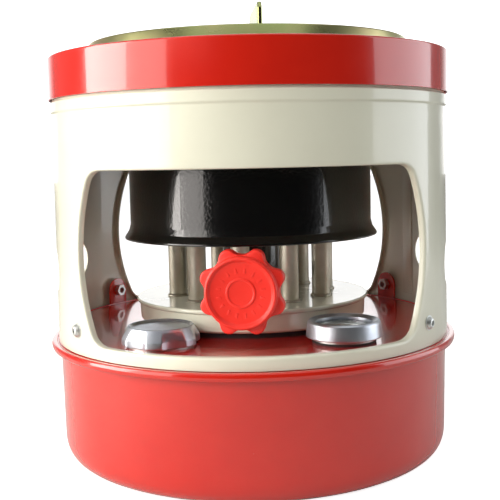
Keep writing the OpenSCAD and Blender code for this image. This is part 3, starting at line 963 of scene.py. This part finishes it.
@dataclass
class Casing:
    """Rolled casing with lipped windows and finger slots, its screws and the red top ring."""

    shop: Shop
    foot_r: float = 120.0
    taper: float = 1.6
    height: float = node_box("casing")[1].z - RIM
    sheet: float = 0.9
    window: Point = (7.0, 101.5)
    window_half: float = 95.4
    bulge: float = 124.5
    corner: float = 9.0
    lip: float = 3.8
    bend: float = 1.3
    band: float = 128.0
    step: float = 1.25
    slot_ends: Point = (-27.0, 31.0)
    slot_radius: float = 12.0
    slot_height: float = 41.5
    bead: Point = (133.6, 140.0)
    bead_step: float = 0.95

    def radius(self, z: float) -> float:
        """Returns the outer radius at a height over the rim, with the stiffening bead near the top."""
        def ramp(a: float) -> float:
            t = min(max((z - a) / 1.2, 0), 1)
            return t * t * (3 - 2 * t)
        bead = ramp(self.bead[0]) - ramp(self.bead[1])
        return self.foot_r - self.taper * z / self.height + self.bead_step * bead

    def window_loop(self, grow: float) -> list[Point]:
        """Returns a window's outline, grown outwards, as (x, height from its middle)."""
        half = (self.window[1] - self.window[0]) / 2 + grow
        side_r, corner_r = self.bulge + grow, self.corner + grow
        side_x = self.window_half + grow - side_r
        corner_y = half - corner_r
        corner_x = side_x + math.sqrt((side_r - corner_r) ** 2 - corner_y ** 2)
        turn = math.asin(corner_y / (side_r - corner_r))
        side = [(side_x + side_r * math.cos(t), side_r * math.sin(t)) for t in np.linspace(-turn, turn, 60)]
        arc = [(corner_x + corner_r * math.cos(t), corner_y + corner_r * math.sin(t))
               for t in np.linspace(turn, math.pi / 2, 30)[1:]]
        top = [(x, half) for x in np.linspace(corner_x, -corner_x, 80)[1:-1]]
        right = [(x, -y) for x, y in reversed(arc)] + side + arc
        left = [(-x, y) for x, y in reversed(right)]
        return right + top + left + [(-x, -y) for x, y in top]

    def slot_loop(self, grow: float, side: int) -> list[Point]:
        """Returns a finger slot's outline, grown outwards, as (distance to the right from outside, height).

        Args:
            grow: How far it is grown.
            side: 1 for the slot on the right of the stove, -1 for the one on the left.

        Returns:
            The outline's points.
        """
        r, (front, back) = self.slot_radius + grow, self.slot_ends
        half, mid = (back - front) / 2, (back + front) / 2
        turns = np.linspace(-math.pi / 2, math.pi / 2, 60)
        right = [(half + r * math.cos(t), r * math.sin(t)) for t in turns]
        top = [(x, r) for x in np.linspace(half, -half, 40)[1:-1]]
        left = [(-x, y) for x, y in reversed(right)]
        return [(x + mid * side, y) for x, y in right + top + left + [(-x, -y) for x, y in top]]

    def patch(self, bm: bmesh.types.BMesh, facing: float, span: float, mid: float,
              loop: Callable[[float], list[Point]], rows: int, lip: float) -> None:
        """Adds a stretch of the sheet round one opening.

        Args:
            bm: The mesh that is added to.
            facing: Angle of the opening, in degrees from the front.
            span: Half the stretch's angle, in degrees.
            mid: Height of the opening's middle over the rim.
            loop: Outline of the opening, grown by its argument.
            rows: Steps up the stretch.
            lip: Depth of the inward lip.
        """
        edge = bm.verts.layers.float.get("edge")
        columns = round(2 * span / self.step)
        across = [(-1 + 2 * i / columns, -1.0) for i in range(columns)]
        heights = [self.band * k / rows for k in range(rows + 1)]
        up = [(1.0, z) for z in heights[:-1]]
        frame_loop = [(u * span, 0.0) for u, _ in across] + [(span, z) for _, z in up]
        frame_loop += [(-u * span, self.band) for u, _ in across]
        frame_loop += [(-span, self.band - z) for _, z in up]
        directions = [math.atan2((z - mid) / self.band, a / span) for a, z in frame_loop]

        def at(grow: float, depth: float) -> list[tuple[float, float, float]]:
            raw = [(math.degrees(math.asin(x / (self.radius(mid + y)))), mid + y) for x, y in loop(grow)]
            turn = np.array([math.atan2((z - mid) / self.band, a / span) for a, z in raw])
            order = np.argsort(turn)
            turn = turn[order]
            values = np.array(raw)[order]
            turn = np.concatenate([turn - TAU, turn, turn + TAU])
            values = np.concatenate([values] * 3)
            return [(float(np.interp(d, turn, values[:, 0])), float(np.interp(d, turn, values[:, 1])), depth)
                    for d in directions]

        hole = at(self.bend, 0.0)
        rings = []
        for t in (0, 0.16, 0.32, 0.48, 0.64, 0.78, 0.9, 1.0):
            rings.append([(a + (b - a) * t, z + (c - z) * t, 0.0)
                          for (a, z), (b, c, _) in zip(frame_loop, hole)])
        plain = len(rings)
        for t in (0.25, 0.5, 0.75, 1.0):
            turn = t * math.pi / 2
            rings.append(at(self.bend * (1 - math.sin(turn)), self.bend * (1 - math.cos(turn))))
        if lip:
            rings.append(at(0.0, lip))
        rows_made = []
        for i, ring in enumerate(rings):
            row = []
            for a, z, depth in ring:
                t = math.radians(a + facing)
                r = self.radius(z) - depth
                v = bm.verts.new((r * math.sin(t), -r * math.cos(t), RIM + z))
                v[edge] = 1.0 if i >= plain else 0.0
                row.append(v)
            rows_made.append(row)
        count = len(rows_made[0])
        for a, b in zip(rows_made, rows_made[1:]):
            for k in range(count):
                n = (k + 1) % count
                bm.faces.new((a[k], a[n], b[n], b[k]))

    def sheet_body(self) -> None:
        """Makes the rolled sheet and gives it its thickness."""
        bm = bmesh.new()
        edge = bm.verts.layers.float.new("edge")
        mid = sum(self.window) / 2
        for facing in (0, 180):
            self.patch(bm, facing, 60, mid, self.window_loop, 52, self.lip)
        for side in (-1, 1):
            self.patch(bm, 90 * side, 30, self.slot_height, partial(self.slot_loop, side=side), 52, 0.0)
        heights = [self.band, 131, 133, 133.6, 133.9, 134.2, 134.5, 134.8, 135.4, 138, 139.8, 140.1, 140.4,
                   140.7, 141.2, self.height]
        count = round(360 / self.step)
        rows = []
        for z in heights:
            r = self.radius(z)
            row = [bm.verts.new((r * math.sin(TAU * k / count), -r * math.cos(TAU * k / count), RIM + z))
                   for k in range(count)]
            for v in row:
                v[edge] = 0.6 if z > 133 else 0.0
            rows.append(row)
        for a, b in zip(rows, rows[1:]):
            for k in range(count):
                bm.faces.new((a[k], a[(k + 1) % count], b[(k + 1) % count], b[k]))
        bmesh.ops.remove_doubles(bm, verts=bm.verts, dist=2e-3)
        bmesh.ops.recalc_face_normals(bm, faces=bm.faces)
        bm.faces.ensure_lookup_table()
        sample = bm.faces[0]
        if sample.normal.dot(sample.calc_center_median() * Vector((1, 1, 0))) < 0:
            bmesh.ops.reverse_faces(bm, faces=bm.faces)
        bmesh.ops.scale(bm, vec=(MM, MM, MM), verts=bm.verts)
        mesh = bpy.data.meshes.new("casing_sheet")
        bm.to_mesh(mesh)
        bm.free()
        obj = placed("casing_sheet", mesh)
        thick = obj.modifiers.new("thickness", "SOLIDIFY")
        thick.thickness, thick.offset, thick.use_even_offset = self.sheet * MM, -1.0, True
        baked(obj)
        obj.data.shade_smooth()
        obj.data.set_sharp_from_angle(angle=math.radians(50))
        self.shop.done(obj, Slot.CREAM, Body.STOVE, "casing")

    def lap(self) -> None:
        """Makes the inner half of the casing's lap seam."""
        low, high, thick = 11.0, 128.0, 0.7
        inside = [self.radius(z) - self.sheet - thick for z in (low, high)]
        lean = (inside[0] - inside[1]) / (high - low)
        outline = [(-5, RIM + low), (5, RIM + low), (5, RIM + high), (-5, RIM + high)]
        turn = Matrix.Rotation(-math.atan(lean), 4, "X") @ Matrix.Rotation(math.pi / 2, 4, "X")
        piece = prism("casing_lap", outline, 0, thick, 0.25, turn)
        piece = self.shop.ring(piece, Slot.CREAM, 1, inside[0] + (RIM + low) * lean, 115.5, 0)
        self.shop.done(piece, Slot.CREAM, Body.STOVE)

    def screws(self) -> None:
        """Makes the pan-head screws with their cross recess."""
        pieces = []
        for start, step, z in zip(TAB_ANGLES, TAB_STEPS, SCREW_HEIGHTS):
            head = lathe("screw", [(0, 0, 0), (3.6, 0, 0.25), (3.6, 0.9, 0.8), (2.4, 2.3, 0.9),
                                   (1.5, 2.5, 0.3), (1.1, 1.5, 0.2),
                                   (0, 1.3, 0)], segments=48, closed=False, steps=4)
            washer = lathe("washer", [(2.2, -0.1, 0.1), (4.3, -0.1, 0.1), (4.3, 0.25, 0.1),
                                      (2.2, 0.25, 0.1)],
                           segments=48, steps=2)
            blades = [prism("recess", [(-1.9, -0.35), (1.9, -0.35), (1.9, 0.35), (-1.9, 0.35)], 1.35, 2.42,
                            0.08, Matrix.Rotation(a, 4, "Z")) for a in (0.5, 0.5 + math.pi / 2)]
            screw = joined("screw", [head, washer])
            for blade in blades:
                cut = screw.modifiers.new("recess", "BOOLEAN")
                cut.object, cut.operation, cut.solver = blade, "DIFFERENCE", "EXACT"
            baked(screw)
            for blade in blades:
                bpy.data.objects.remove(blade)
            screw.data.transform(Matrix.Rotation(math.pi / 2, 4, "X"))
            pieces.append(self.shop.ring(screw, Slot.ZINC, 2, self.radius(z - RIM) + 0.1, start, step, z))
        self.shop.done(joined("casing_screw_set", pieces), Slot.ZINC, Body.STOVE, "casing_screws")

    def ring(self) -> None:
        """Makes the red ring with its turned-in top."""
        low, high = node_box("top_ring")
        r, a, b = high.x, low.z, high.z
        corners = [(r - 0.9, a, 0.2), (r, a, 0.2), (r, b - 0.2, 2.6), (r - 2.4, b, 1.2), (104, b, 0.3),
                   (104, b - 1, 0.3), (r - 2.8, b - 1, 1.2), (r - 0.95, b - 2.6, 1.6)]
        piece = lathe("crown_ring", corners, segments=256, steps=8)
        self.shop.done(piece, Slot.RED, Body.STOVE, "top_ring")

    def build(self) -> None:
        """Builds the casing."""
        self.sheet_body()
        self.lap()
        self.screws()
        self.ring()


# ---------------------------------------------------------------- filler and gauge


def crossing(angle: float, count: int, first: float, reach: float, radius: float, far: bool) -> float | None:
    """Returns where a ray from the axis meets one of the circles that stand round it.

    Args:
        angle: The ray's angle, in radians.
        count: Number of circles.
        first: Angle of the first circle, in degrees.
        reach: Distance of each circle's middle from the axis.
        radius: Each circle's radius.
        far: Whether the further crossing is wanted.

    Returns:
        The crossing's distance from the axis, or None if the ray misses.
    """
    step = TAU / count
    off = (angle - math.radians(first) + step / 2) % step - step / 2
    inside = radius ** 2 - (reach * math.sin(off)) ** 2
    if inside <= 0 or abs(off) > math.pi / 2:
        return None
    return reach * math.cos(off) + (math.sqrt(inside) if far else -math.sqrt(inside))


def soft_min(a: float, b: float, soft: float) -> float:
    """Returns the lower of two values, with a smooth change from one to the other."""
    return min(a, b) - max(soft - abs(a - b), 0.0) ** 2 / soft / 4


@dataclass
class Filler:
    """Filler cap with a sloped shoulder, finger hollows and a dished top."""

    shop: Shop
    skirt: float = 21.7
    hollow: float = 16.0
    reach: float = 34.9
    first: float = 24.5

    def build(self) -> None:
        """Builds the cap."""
        at = middle("filler_cap")
        z = node_box("filler_cap")[0].z
        top = node_box("filler_cap")[1].z
        corners = [(0, top - 1.4, 0), (15.3, top - 1.3, 1.2), (16.7, top, 0.6), (17.9, top - 0.05, 0.6),
                   (18.6, top - 1.4, 1.2), (21.5, z + 3.6, 1.2), (self.skirt, z + 0.5, 0.5), (21.2, z, 0.3),
                   (16.9, z + 0.05, 0.3), (16.8, top - 2.4, 0.6), (0, top - 2.4, 0)]

        def pressed(angle: float, point: Corner) -> float:
            edge = crossing(angle, 6, self.first, self.reach, self.hollow, False)
            return point[0] if point[0] < 17 or edge is None else soft_min(point[0], edge, 0.15)

        bm = lathe_mesh(rounded(corners, False, 5), 240, False, pressed)
        bmesh.ops.translate(bm, vec=(at.x, at.y, 0), verts=bm.verts)
        self.shop.done(mesh_object("filler_cap_shell", bm, 50), Slot.BRIGHT, Body.CAP, "filler_cap")


@dataclass
class Gauge:
    """Float gauge: bezel, window and printed dial with its ticks."""

    shop: Shop

    def build(self) -> None:
        """Builds the gauge's visible pieces."""
        at = middle("gauge_bezel")
        centre = (at.x, at.y)
        z = node_box("gauge_bezel")[0].z
        top = node_box("gauge_bezel")[1].z
        corners = [(15.7, z, 0.2), (20.7, z, 0.4), (20.85, z + 0.6, 0.4),
                   (20.0, top - 1.2, 1.4), (19.0, top, 1.0), (18.1, top, 0.9), (15.6, top - 1.5, 0.8),
                   (15.4, top - 3.0, 0.2), (16.5, top - 3.05, 0.2), (16.5, top - 4.1, 0.1),
                   (15.7, top - 4.2, 0.2)]
        self.shop.done(lathe("gauge_ring", corners, centre, 160, steps=6), Slot.BRIGHT, Body.STOVE,
                       "gauge_bezel")
        low, high = node_box("gauge_glass")
        window = lathe("gauge_window", [(0, low.z, 0), (16.2, low.z, 0.2), (16.2, low.z + 0.7, 0.2),
                                        (12, high.z - 0.15, 4), (0, high.z, 0)], centre, 96, closed=False)
        self.shop.done(window, Slot.GLASS, Body.STOVE, "gauge_glass")
        dial_low, dial_high = node_box("gauge_dial")
        face = lathe("dial_plate", [(1.3, dial_low.z, 0.1), (14.1, dial_low.z, 0.1),
                                    (14.1, dial_high.z, 0.2), (1.3, dial_high.z, 0.1)], centre, 96, steps=3)
        self.shop.done(face, Slot.DIAL, Body.STOVE, "gauge_dial")
        tick = prism("tick", [(-0.3, -1.2), (0.3, -1.2), (0.3, 1.2), (-0.3, 1.2)], 0, 0.15, 0.05)
        ticks = self.shop.ring(tick, Slot.SEAL, 9, 11.6, -90, 22.5, 0)
        ticks.data.transform(Matrix.Translation(Vector((at.x, at.y, dial_high.z - 0.02)) * MM))
        ticks.name = "dial_ticks"
        self.shop.done(ticks, Slot.SEAL, Body.STOVE)


# ---------------------------------------------------------------- burner base


@dataclass
class BurnerBase:
    """Base pan and wick tubes with collars."""

    shop: Shop
    circle: float = 46.5
    count: int = 10
    tube_r: float = 5.5

    def pan(self) -> None:
        """Makes the enamelled base pan with its rounded shoulder."""
        low, high = node_box("base_pan")
        r, a, b = high.x, low.z, high.z
        corners = [(0, b - 1.2, 0), (r - 3.2, b - 1.4, 1), (r - 3.1, a + 1.2, 0.8), (58.6, a + 1.2, 0.2),
                   (58.6, a, 0.2), (r - 3.4, a, 0.9), (r - 2.2, a + 1.2, 0.8), (r - 1.8, b - 2.8, 0.8),
                   (r - 0.4, b - 2.2, 0.6), (r, b - 0.9, 0.7), (r - 0.7, b, 0.6), (r - 2.0, b - 0.2, 1.0),
                   (0, b - 0.1, 0)]
        piece = lathe("base_pan_cover", corners, closed=False, segments=192, steps=5)
        self.shop.done(piece, Slot.CREAM, Body.STOVE, "base_pan")

    def tubes(self) -> None:
        """Makes the wick tubes and their collars."""
        low, high = node_box("wick_tubes")
        r, bore, top = self.tube_r, self.tube_r - 0.6, high.z
        tube = lathe("tube", [(bore, low.z, 0.1), (r, low.z, 0.1), (r, top - 1.6, 0.4), (r - 0.25, top, 0.2),
                              (bore, top, 0.2)], segments=48, steps=3)
        step = 360 / self.count
        piece = self.shop.ring(tube, Slot.TUBE, self.count, self.circle, BURNER_TURN, step)
        piece.name = "wick_tube_set"
        self.shop.done(piece, Slot.TUBE, Body.STOVE, "wick_tubes")
        z = node_box("tube_collars")[0].z
        collar = lathe("collar", [(r, z, 0.05), (r + 1.1, z, 0.2), (r + 0.9, z + 0.6, 0.3),
                                  (r + 0.1, z + 1.5, 0.3), (r, z + 1.5, 0.05)], segments=48, steps=3)
        rings = self.shop.ring(collar, Slot.TUBE, self.count, self.circle, BURNER_TURN, step)
        rings.name = "tube_collar_set"
        self.shop.done(rings, Slot.TUBE, Body.STOVE, "tube_collars")

    def build(self) -> None:
        """Builds the burner base."""
        self.pan()
        self.tubes()


# ---------------------------------------------------------------- burner


@dataclass
class Burner:
    """Lift-off burner: enamelled drum, perforated flame sleeves and the inner cap."""

    shop: Shop
    columns: int = 40
    rise: float = 5.4

    def drum(self) -> None:
        """Makes the drum with its flared and rolled lower lip."""
        low, high = node_box("burner_drum")
        lip, a, b = high.x, low.z, high.z
        w = lip - 3.6
        corners = [(w - 0.9, a + 9, 2), (w - 0.2, a + 5.4, 2), (lip - 1.2, a + 1.6, 1.0),
                   (lip - 1.0, a, 0.5), (lip, a + 0.2, 0.5), (lip, a + 1.3, 0.5), (w + 1.0, a + 5.2, 2.2),
                   (w, a + 9, 3), (w, b - 0.2, 1.8), (w - 2, b, 0.8), (lip - 10, b, 0.3),
                   (lip - 10, b - 0.9, 0.3), (w - 2.2, b - 0.9, 0.8), (w - 0.9, b - 2, 1.2)]
        self.shop.done(lathe("drum_wall", corners, segments=256, steps=7), Slot.BLACK, Body.BURNER,
                       "burner_drum")

    def cell(self, radius: float) -> bpy.types.Object:
        """Makes one curved square of sleeve sheet with a round hole.

        Args:
            radius: The sleeve's outer radius, in millimetres.

        Returns:
            The cell, facing -Y, with its lower edge at height 0.
        """
        sides, thick = 6, 0.6
        half_a = math.pi / self.columns
        half_z = self.rise / 2
        hole = min(radius * half_a, half_z) * 0.52
        frame_points = []
        for corner, move in (((-1, -1), (1, 0)), ((1, -1), (0, 1)), ((1, 1), (-1, 0)), ((-1, 1), (0, -1))):
            for k in range(sides):
                t = 2 * k / sides
                frame_points.append((corner[0] + move[0] * t, corner[1] + move[1] * t))
        bm = bmesh.new()
        bm.verts.layers.float.new("edge")
        rings = []
        for depth in (0.0, thick):
            for share in (1.0, 0.0):
                ring = []
                for u, v in frame_points:
                    turn = math.atan2(v * half_z, u * radius * half_a)
                    x = u * radius * half_a * share + hole * math.cos(turn) * (1 - share)
                    z = v * half_z * share + hole * math.sin(turn) * (1 - share)
                    a = x / radius
                    ring.append(bm.verts.new(((radius - depth) * math.sin(a),
                                              -(radius - depth) * math.cos(a), z + half_z)))
                rings.append(ring)
        outer, outer_hole, inner, inner_hole = rings
        count = len(frame_points)
        for a, b in ((outer, outer_hole), (outer_hole, inner_hole), (inner_hole, inner)):
            for k in range(count):
                n = (k + 1) % count
                bm.faces.new((a[k], a[n], b[n], b[k]))
        bmesh.ops.scale(bm, vec=(MM, MM, MM), verts=bm.verts)
        mesh = bpy.data.meshes.new("cell")
        bm.to_mesh(mesh)
        bm.free()
        return placed("cell", mesh)

    def sleeve(self, node: str) -> None:
        """Makes a perforated sleeve with plain hems.

        Args:
            node: The frame node that it stands for.
        """
        low, high = node_box(node)
        r = high.x
        rows = int((high.z - low.z - 8) / self.rise)
        first = (low.z + high.z - rows * self.rise) / 2
        wall = self.shop.repeats.run(self.cell(r), self.shop.repeats.wall, self.shop.finish[Slot.FLAME],
                                     Count=rows * self.columns, Radius=0, Start=0, Step=360 / self.columns,
                                     Height=first * MM, Columns=self.columns, Rise=self.rise * MM)
        hems = []
        for a, b in ((low.z, first), (first + rows * self.rise, high.z)):
            hems.append(lathe("hem", [(r - 0.6, a, 0), (r, a, 0), (r, b, 0), (r - 0.6, b, 0)],
                              segments=self.columns * 6))
        self.shop.done(joined(f"{node}_perforated", [wall, *hems]), Slot.FLAME, Body.BURNER, node)

    def cap(self) -> None:
        """Makes the domed inner cap."""
        low, high = node_box("inner_cap")
        r, a, b = high.x, low.z, high.z
        corners = [(0, b - 1.1, 0), (r - 8.5, a + 1.0, 2), (r - 2, a, 0.6), (r, a, 0.4), (r, a + 1.0, 0.4),
                   (r - 2, a + 1.1, 0.6), (r - 8.5, a + 2.2, 2), (6, b - 0.1, 2), (0, b, 0)]
        piece = lathe("inner_cap_dome", corners, closed=False)
        self.shop.done(piece, Slot.FLAME, Body.BURNER, "inner_cap")

    def build(self) -> None:
        """Builds the burner."""
        self.drum()
        self.sleeve("outer_sleeve")
        self.sleeve("inner_sleeve")
        self.cap()


# ---------------------------------------------------------------- knob


@dataclass
class Knob:
    """Lobed wick knob with a raised rim, a ring and plain marks round its face."""

    shop: Shop
    radius: float = 23.3
    disc: float = 18.9
    lobe: float = 4.5
    valley: float = 6.6

    def place(self) -> Matrix:
        """Returns the knob's place: X right, Y up and Z out of the stove along the shaft."""
        joint = next(j for j in frame["joints"] if j["name"] == "knob_turn")
        out = Vector(joint["axis"])
        up = Vector((0, 0, 1))
        right = up.cross(out)
        near = Vector(joint["pos_m"]) * 1000
        low, high = node_box("knob")
        centre = (low + high) / 2
        along = (centre - near).dot(out)
        origin = near + out * along
        matrix = Matrix((right, up, out)).transposed().to_4x4()
        matrix.translation = origin
        return matrix

    def build(self) -> None:
        """Builds the knob."""
        matrix = self.place()
        half = 6.5
        skirt = self.radius
        corners = [(0, -2, 0), (3.05, -2, 0.2), (3.05, -half + 0.2, 0.2), (6.6, -half + 0.2, 0.3),
                   (6.6, 1.0, 1.0), (16.4, 1.0, 1.0), (16.4, -half + 0.1, 0.4), (skirt, -half, 1.4),
                   (skirt, 1.4, 1.6), (self.disc + 0.1, 1.9, 0.8), (self.disc, half - 0.8, 1.4),
                   (self.disc - 1.4, half, 1.0), (self.disc - 2.9, half - 1.7, 1.2), (7.9, half - 2.2, 0.3),
                   (7.5, half - 1.7, 0.4), (6.7, half - 1.7, 0.4), (6.3, half - 2.2, 0.3),
                   (0, half - 2.2, 0)]

        def shape(angle: float, point: Corner) -> float:
            r = point[0]
            if r <= self.disc:
                return r
            dent = crossing(angle, 8, 0, self.radius + 2.6, self.valley, False)
            bump = crossing(angle, 8, 22.5, self.radius - self.lobe, self.lobe, True)
            outline = max(min(self.radius - 2.1, dent or self.radius), bump or 0.0)
            return self.disc + (outline - self.disc) * (r - self.disc) / (self.radius - self.disc)

        bm = lathe_mesh(rounded(corners, False, 5), 480, False, shape)
        bmesh.ops.transform(bm, matrix=matrix, verts=bm.verts)
        self.shop.done(mesh_object("knob_grip", bm, 40), Slot.KNOB, Body.KNOB, "knob")
        mark = prism("mark", [(-0.45, -1.3), (0.45, -1.3), (0.7, 1.3), (-0.7, 1.3)], 0, 0.5, 0.15)
        marks = self.shop.ring(mark, Slot.KNOB, 16, 11.7, 11.25, 22.5)
        marks.name = "knob_marks"
        down = Matrix.Translation((0, 0, (half - 2.3) * MM))
        place = matrix.copy()
        place.translation *= MM
        marks.data.transform(place @ down)
        self.shop.done(marks, Slot.KNOB, Body.KNOB)


# ---------------------------------------------------------------- pan support


@dataclass
class PanSupport:
    """Yellow-zinc top plate with a raised lip, upright fins and their rivets."""

    shop: Shop
    turn: float = 4.5

    def plate(self) -> None:
        """Makes the pressed plate."""
        low, high = node_box("top_plate")
        r, top = high.x, high.z
        z = node_box("top_ring")[1].z
        lip = 95.5
        corners = [(66.1, low.z, 0.3), (66.9, low.z, 0.3), (67.2, z - 1.5, 1.2), (lip - 6, z - 1.5, 1.4),
                   (lip - 4, z + 0.4, 1), (lip - 2.2, top - 1.4, 1.2), (lip - 0.6, top - 1.4, 1),
                   (lip + 1.0, z + 2, 1), (lip + 3, z + 0.05, 1.4), (r, z + 0.05, 0.2), (r, z + 0.9, 0.3),
                   (lip + 3.6, z + 0.9, 1.6), (lip + 1.9, z + 2.6, 1.4), (lip - 0.1, top - 0.2, 1.1),
                   (lip - 2.4, top - 0.1, 1.1), (lip - 4.9, z + 1.0, 1.2), (lip - 6.4, z - 0.6, 1.4),
                   (66.1, z - 0.6, 1.2)]
        self.shop.done(lathe("support_plate", corners, segments=256, steps=6), Slot.GOLD, Body.SUPPORT,
                       "top_plate")

    def fins(self) -> None:
        """Makes the folded fins with a round inner end, their feet and rivets."""
        top = node_box("pan_fins")[1].z
        z = node_box("top_ring")[1].z
        inner, outer, floor = 34.0, 89.0, z - 0.6
        turns = np.linspace(0, math.pi / 2, 12)
        arc = [(-inner - 8 + 8 * math.cos(a), top - 8 + 8 * math.sin(a)) for a in turns]
        outline = [(-70, floor), (-68, z + 2), (-inner - 5, z + 2), (-inner, z + 6)] + arc
        outline += [(-outer + 3, top), (-outer, top - 3), (-outer, floor)]
        turn = Matrix.Rotation(math.pi / 2, 4, "Z") @ Matrix.Rotation(math.pi / 2, 4, "X")
        blade = prism("fin", outline, -1.15, 1.15, 0.75, turn)
        foot = prism("foot", [(-6.5, -outer), (6.5, -outer), (6.5, -70), (-6.5, -70)], floor, floor + 0.8,
                     0.25)
        fin = joined("fin", [blade, foot])
        piece = self.shop.ring(fin, Slot.GOLD, 3, 0, self.turn, 120)
        piece.name = "fin_set"
        self.shop.done(piece, Slot.GOLD, Body.SUPPORT, "pan_fins")
        rivets = []
        for x in (-4.2, 4.2):
            for y in (74.0, 85.0):
                head = lathe("rivet", [(0, 0, 0), (1.9, 0, 0.1), (2.3, 0.2, 0.2), (1.7, 0.95, 0.6),
                                       (0, 1.2, 0)], (x, -y),
                             32, closed=False, steps=3)
                rivets.append(head)
        item = joined("rivet", rivets)
        item.data.transform(Matrix.Translation((0, 0, (floor + 0.8) * MM)))
        piece = self.shop.ring(item, Slot.GOLD, 3, 0, self.turn, 120)
        piece.name = "fin_rivet_set"
        self.shop.done(piece, Slot.GOLD, Body.SUPPORT, "fin_rivets")

    def build(self) -> None:
        """Builds the pan support."""
        self.plate()
        self.fins()


# ---------------------------------------------------------------- studio


@dataclass(frozen=True)
class Lamp:
    """A soft box aimed at the stove: its middle and size in metres, and its power in watts."""

    name: str
    place: tuple[float, float, float]
    width: float
    height: float
    power: float
    mirrored: bool
    colour: tuple[float, float, float] = (1.0, 1.0, 1.0)


@dataclass
class Studio:
    """Camera, lights and the pale floor."""

    lens: float = 65.5
    place: tuple[float, float, float] = (-0.00084, -0.567, 0.1092)
    pitch: float = 6.1
    roll: float = -1.28
    front_glow: float = 0.018
    side_glow: float = 0.20
    back_glow: float = 1.7
    lamps: tuple[Lamp, ...] = (
        Lamp("left_box", (-1.13, -0.21, 0.30), 0.60, 1.1, 17.0, True, (1.0, 0.95, 0.90)),
        Lamp("left_front_box", (-0.918, -0.69, 0.30), 0.48, 1.1, 5.0, True, (1.0, 0.95, 0.90)),
        Lamp("right_box", (1.14, 0.05, 0.30), 1.02, 1.1, 8.0, True, (0.93, 0.96, 1.0)),
        Lamp("front_left_fill", (-0.7, -1.1, 0.7), 0.7, 0.7, 9.0, False),
        Lamp("top_box", (0.0, -0.25, 1.2), 1.4, 1.3, 4.2, True),
    )

    def camera(self) -> None:
        """Places the camera."""
        data = bpy.data.cameras.new("camera")
        data.lens, data.sensor_width = self.lens, 36.0
        data.clip_start = 0.02
        obj = placed("camera", data)
        pitch, roll = math.radians(self.pitch), math.radians(self.roll)
        forward = Vector((0, math.cos(pitch), -math.sin(pitch)))
        up0 = Vector((0, math.sin(pitch), math.cos(pitch)))
        right0 = Vector((1, 0, 0))
        right = math.cos(roll) * right0 + math.sin(roll) * up0
        up = -math.sin(roll) * right0 + math.cos(roll) * up0
        matrix = Matrix((right, up, -forward)).transposed().to_4x4()
        matrix.translation = Vector(self.place) + Vector((0, 0, RIM * MM))
        obj.matrix_world = matrix
        bpy.context.scene.camera = obj

    def light(self, lamp: Lamp) -> None:
        """Adds a soft box aimed at the stove.

        Args:
            lamp: The soft box; it shows in glossy surfaces only if it is mirrored.
        """
        data = bpy.data.lights.new(lamp.name, "AREA")
        data.shape, data.size, data.size_y, data.energy = "RECTANGLE", lamp.width, lamp.height, lamp.power
        data.color = lamp.colour
        obj = placed(lamp.name, data)
        obj.visible_glossy = lamp.mirrored
        aim = Vector((0, 0, 0.12)) - Vector(lamp.place)
        obj.matrix_world = Matrix.Translation(lamp.place) @ aim.to_track_quat("-Z", "Y").to_matrix().to_4x4()

    def floor(self) -> None:
        """Adds the plain pale floor, which ends short in front so that the drum reflects nothing bright."""
        mesh = bpy.data.meshes.new("floor")
        size, front = 6.0, -0.45
        mesh.from_pydata([(-size, front, 0), (size, front, 0), (size, size, 0), (-size, size, 0)], [],
                         [(0, 1, 2, 3)])
        obj = placed("floor", mesh)
        material = bpy.data.materials.new("floor_white")
        material.use_nodes = True
        t = Tree(material.node_tree)
        seen = t.add("ShaderNodeLightPath").outputs["Is Camera Ray"]
        t.fill(material.node_tree.nodes["Principled BSDF"], Base_Color=(0.70, 0.69, 0.66, 1), Roughness=0.6,
               Specular_IOR_Level=0.2, Emission_Color=(1, 1, 1, 1),
               Emission_Strength=t.math("MULTIPLY", seen, 0.9))
        mesh.materials.append(material)

    def world(self) -> None:
        """Sets a surround that is white behind the stove, dim at the sides and almost dark in front."""
        world = bpy.data.worlds.new("surround")
        world.use_nodes = True
        t = Tree(world.node_tree)
        background = world.node_tree.nodes["Background"]
        direction = t.add("ShaderNodeTexCoord").outputs["Generated"]
        depth = t.add("ShaderNodeSeparateXYZ", Vector=direction).outputs["Y"]
        round_it = t.remap(depth, -0.6, 0.5, (self.front_glow, self.side_glow))
        behind = t.remap(depth, 0.76, 0.92, (0.0, self.back_glow - self.side_glow))
        seen = t.add("ShaderNodeLightPath").outputs["Is Camera Ray"]
        strength = t.math("MAXIMUM", t.math("ADD", round_it, behind), seen)
        t.fill(background, Color=(1, 1, 1, 1), Strength=strength)
        bpy.context.scene.world = world
        bpy.context.scene.view_settings.view_transform = "Standard"

    def build(self) -> None:
        """Builds the studio."""
        self.camera()
        for lamp in self.lamps:
            self.light(lamp)
        self.floor()
        self.world()


def dress_frame_nodes(shop: Shop) -> None:
    """Gives every frame node that still shows the finish of its slot.

    Args:
        shop: The finishes.
    """
    slots = {s["node"]: s["material_slot"] for s in frame["record"]["subparts"]}
    for name, node in frame["nodes"].items():
        finish = shop.finish[Slot(slots[name])]
        node.data.materials.clear()
        node.data.materials.append(finish)


def main() -> None:
    """Builds the stove's looks and the studio."""
    logging.basicConfig(level=logging.INFO, format="%(name)s: %(message)s")
    shop = Shop()
    Studio().build()
    dress_frame_nodes(shop)
    for part in (Tank, Casing, Filler, Gauge, BurnerBase, Burner, Knob, PanSupport):
        part(shop).build()


if __name__ == "__main__":
    main()
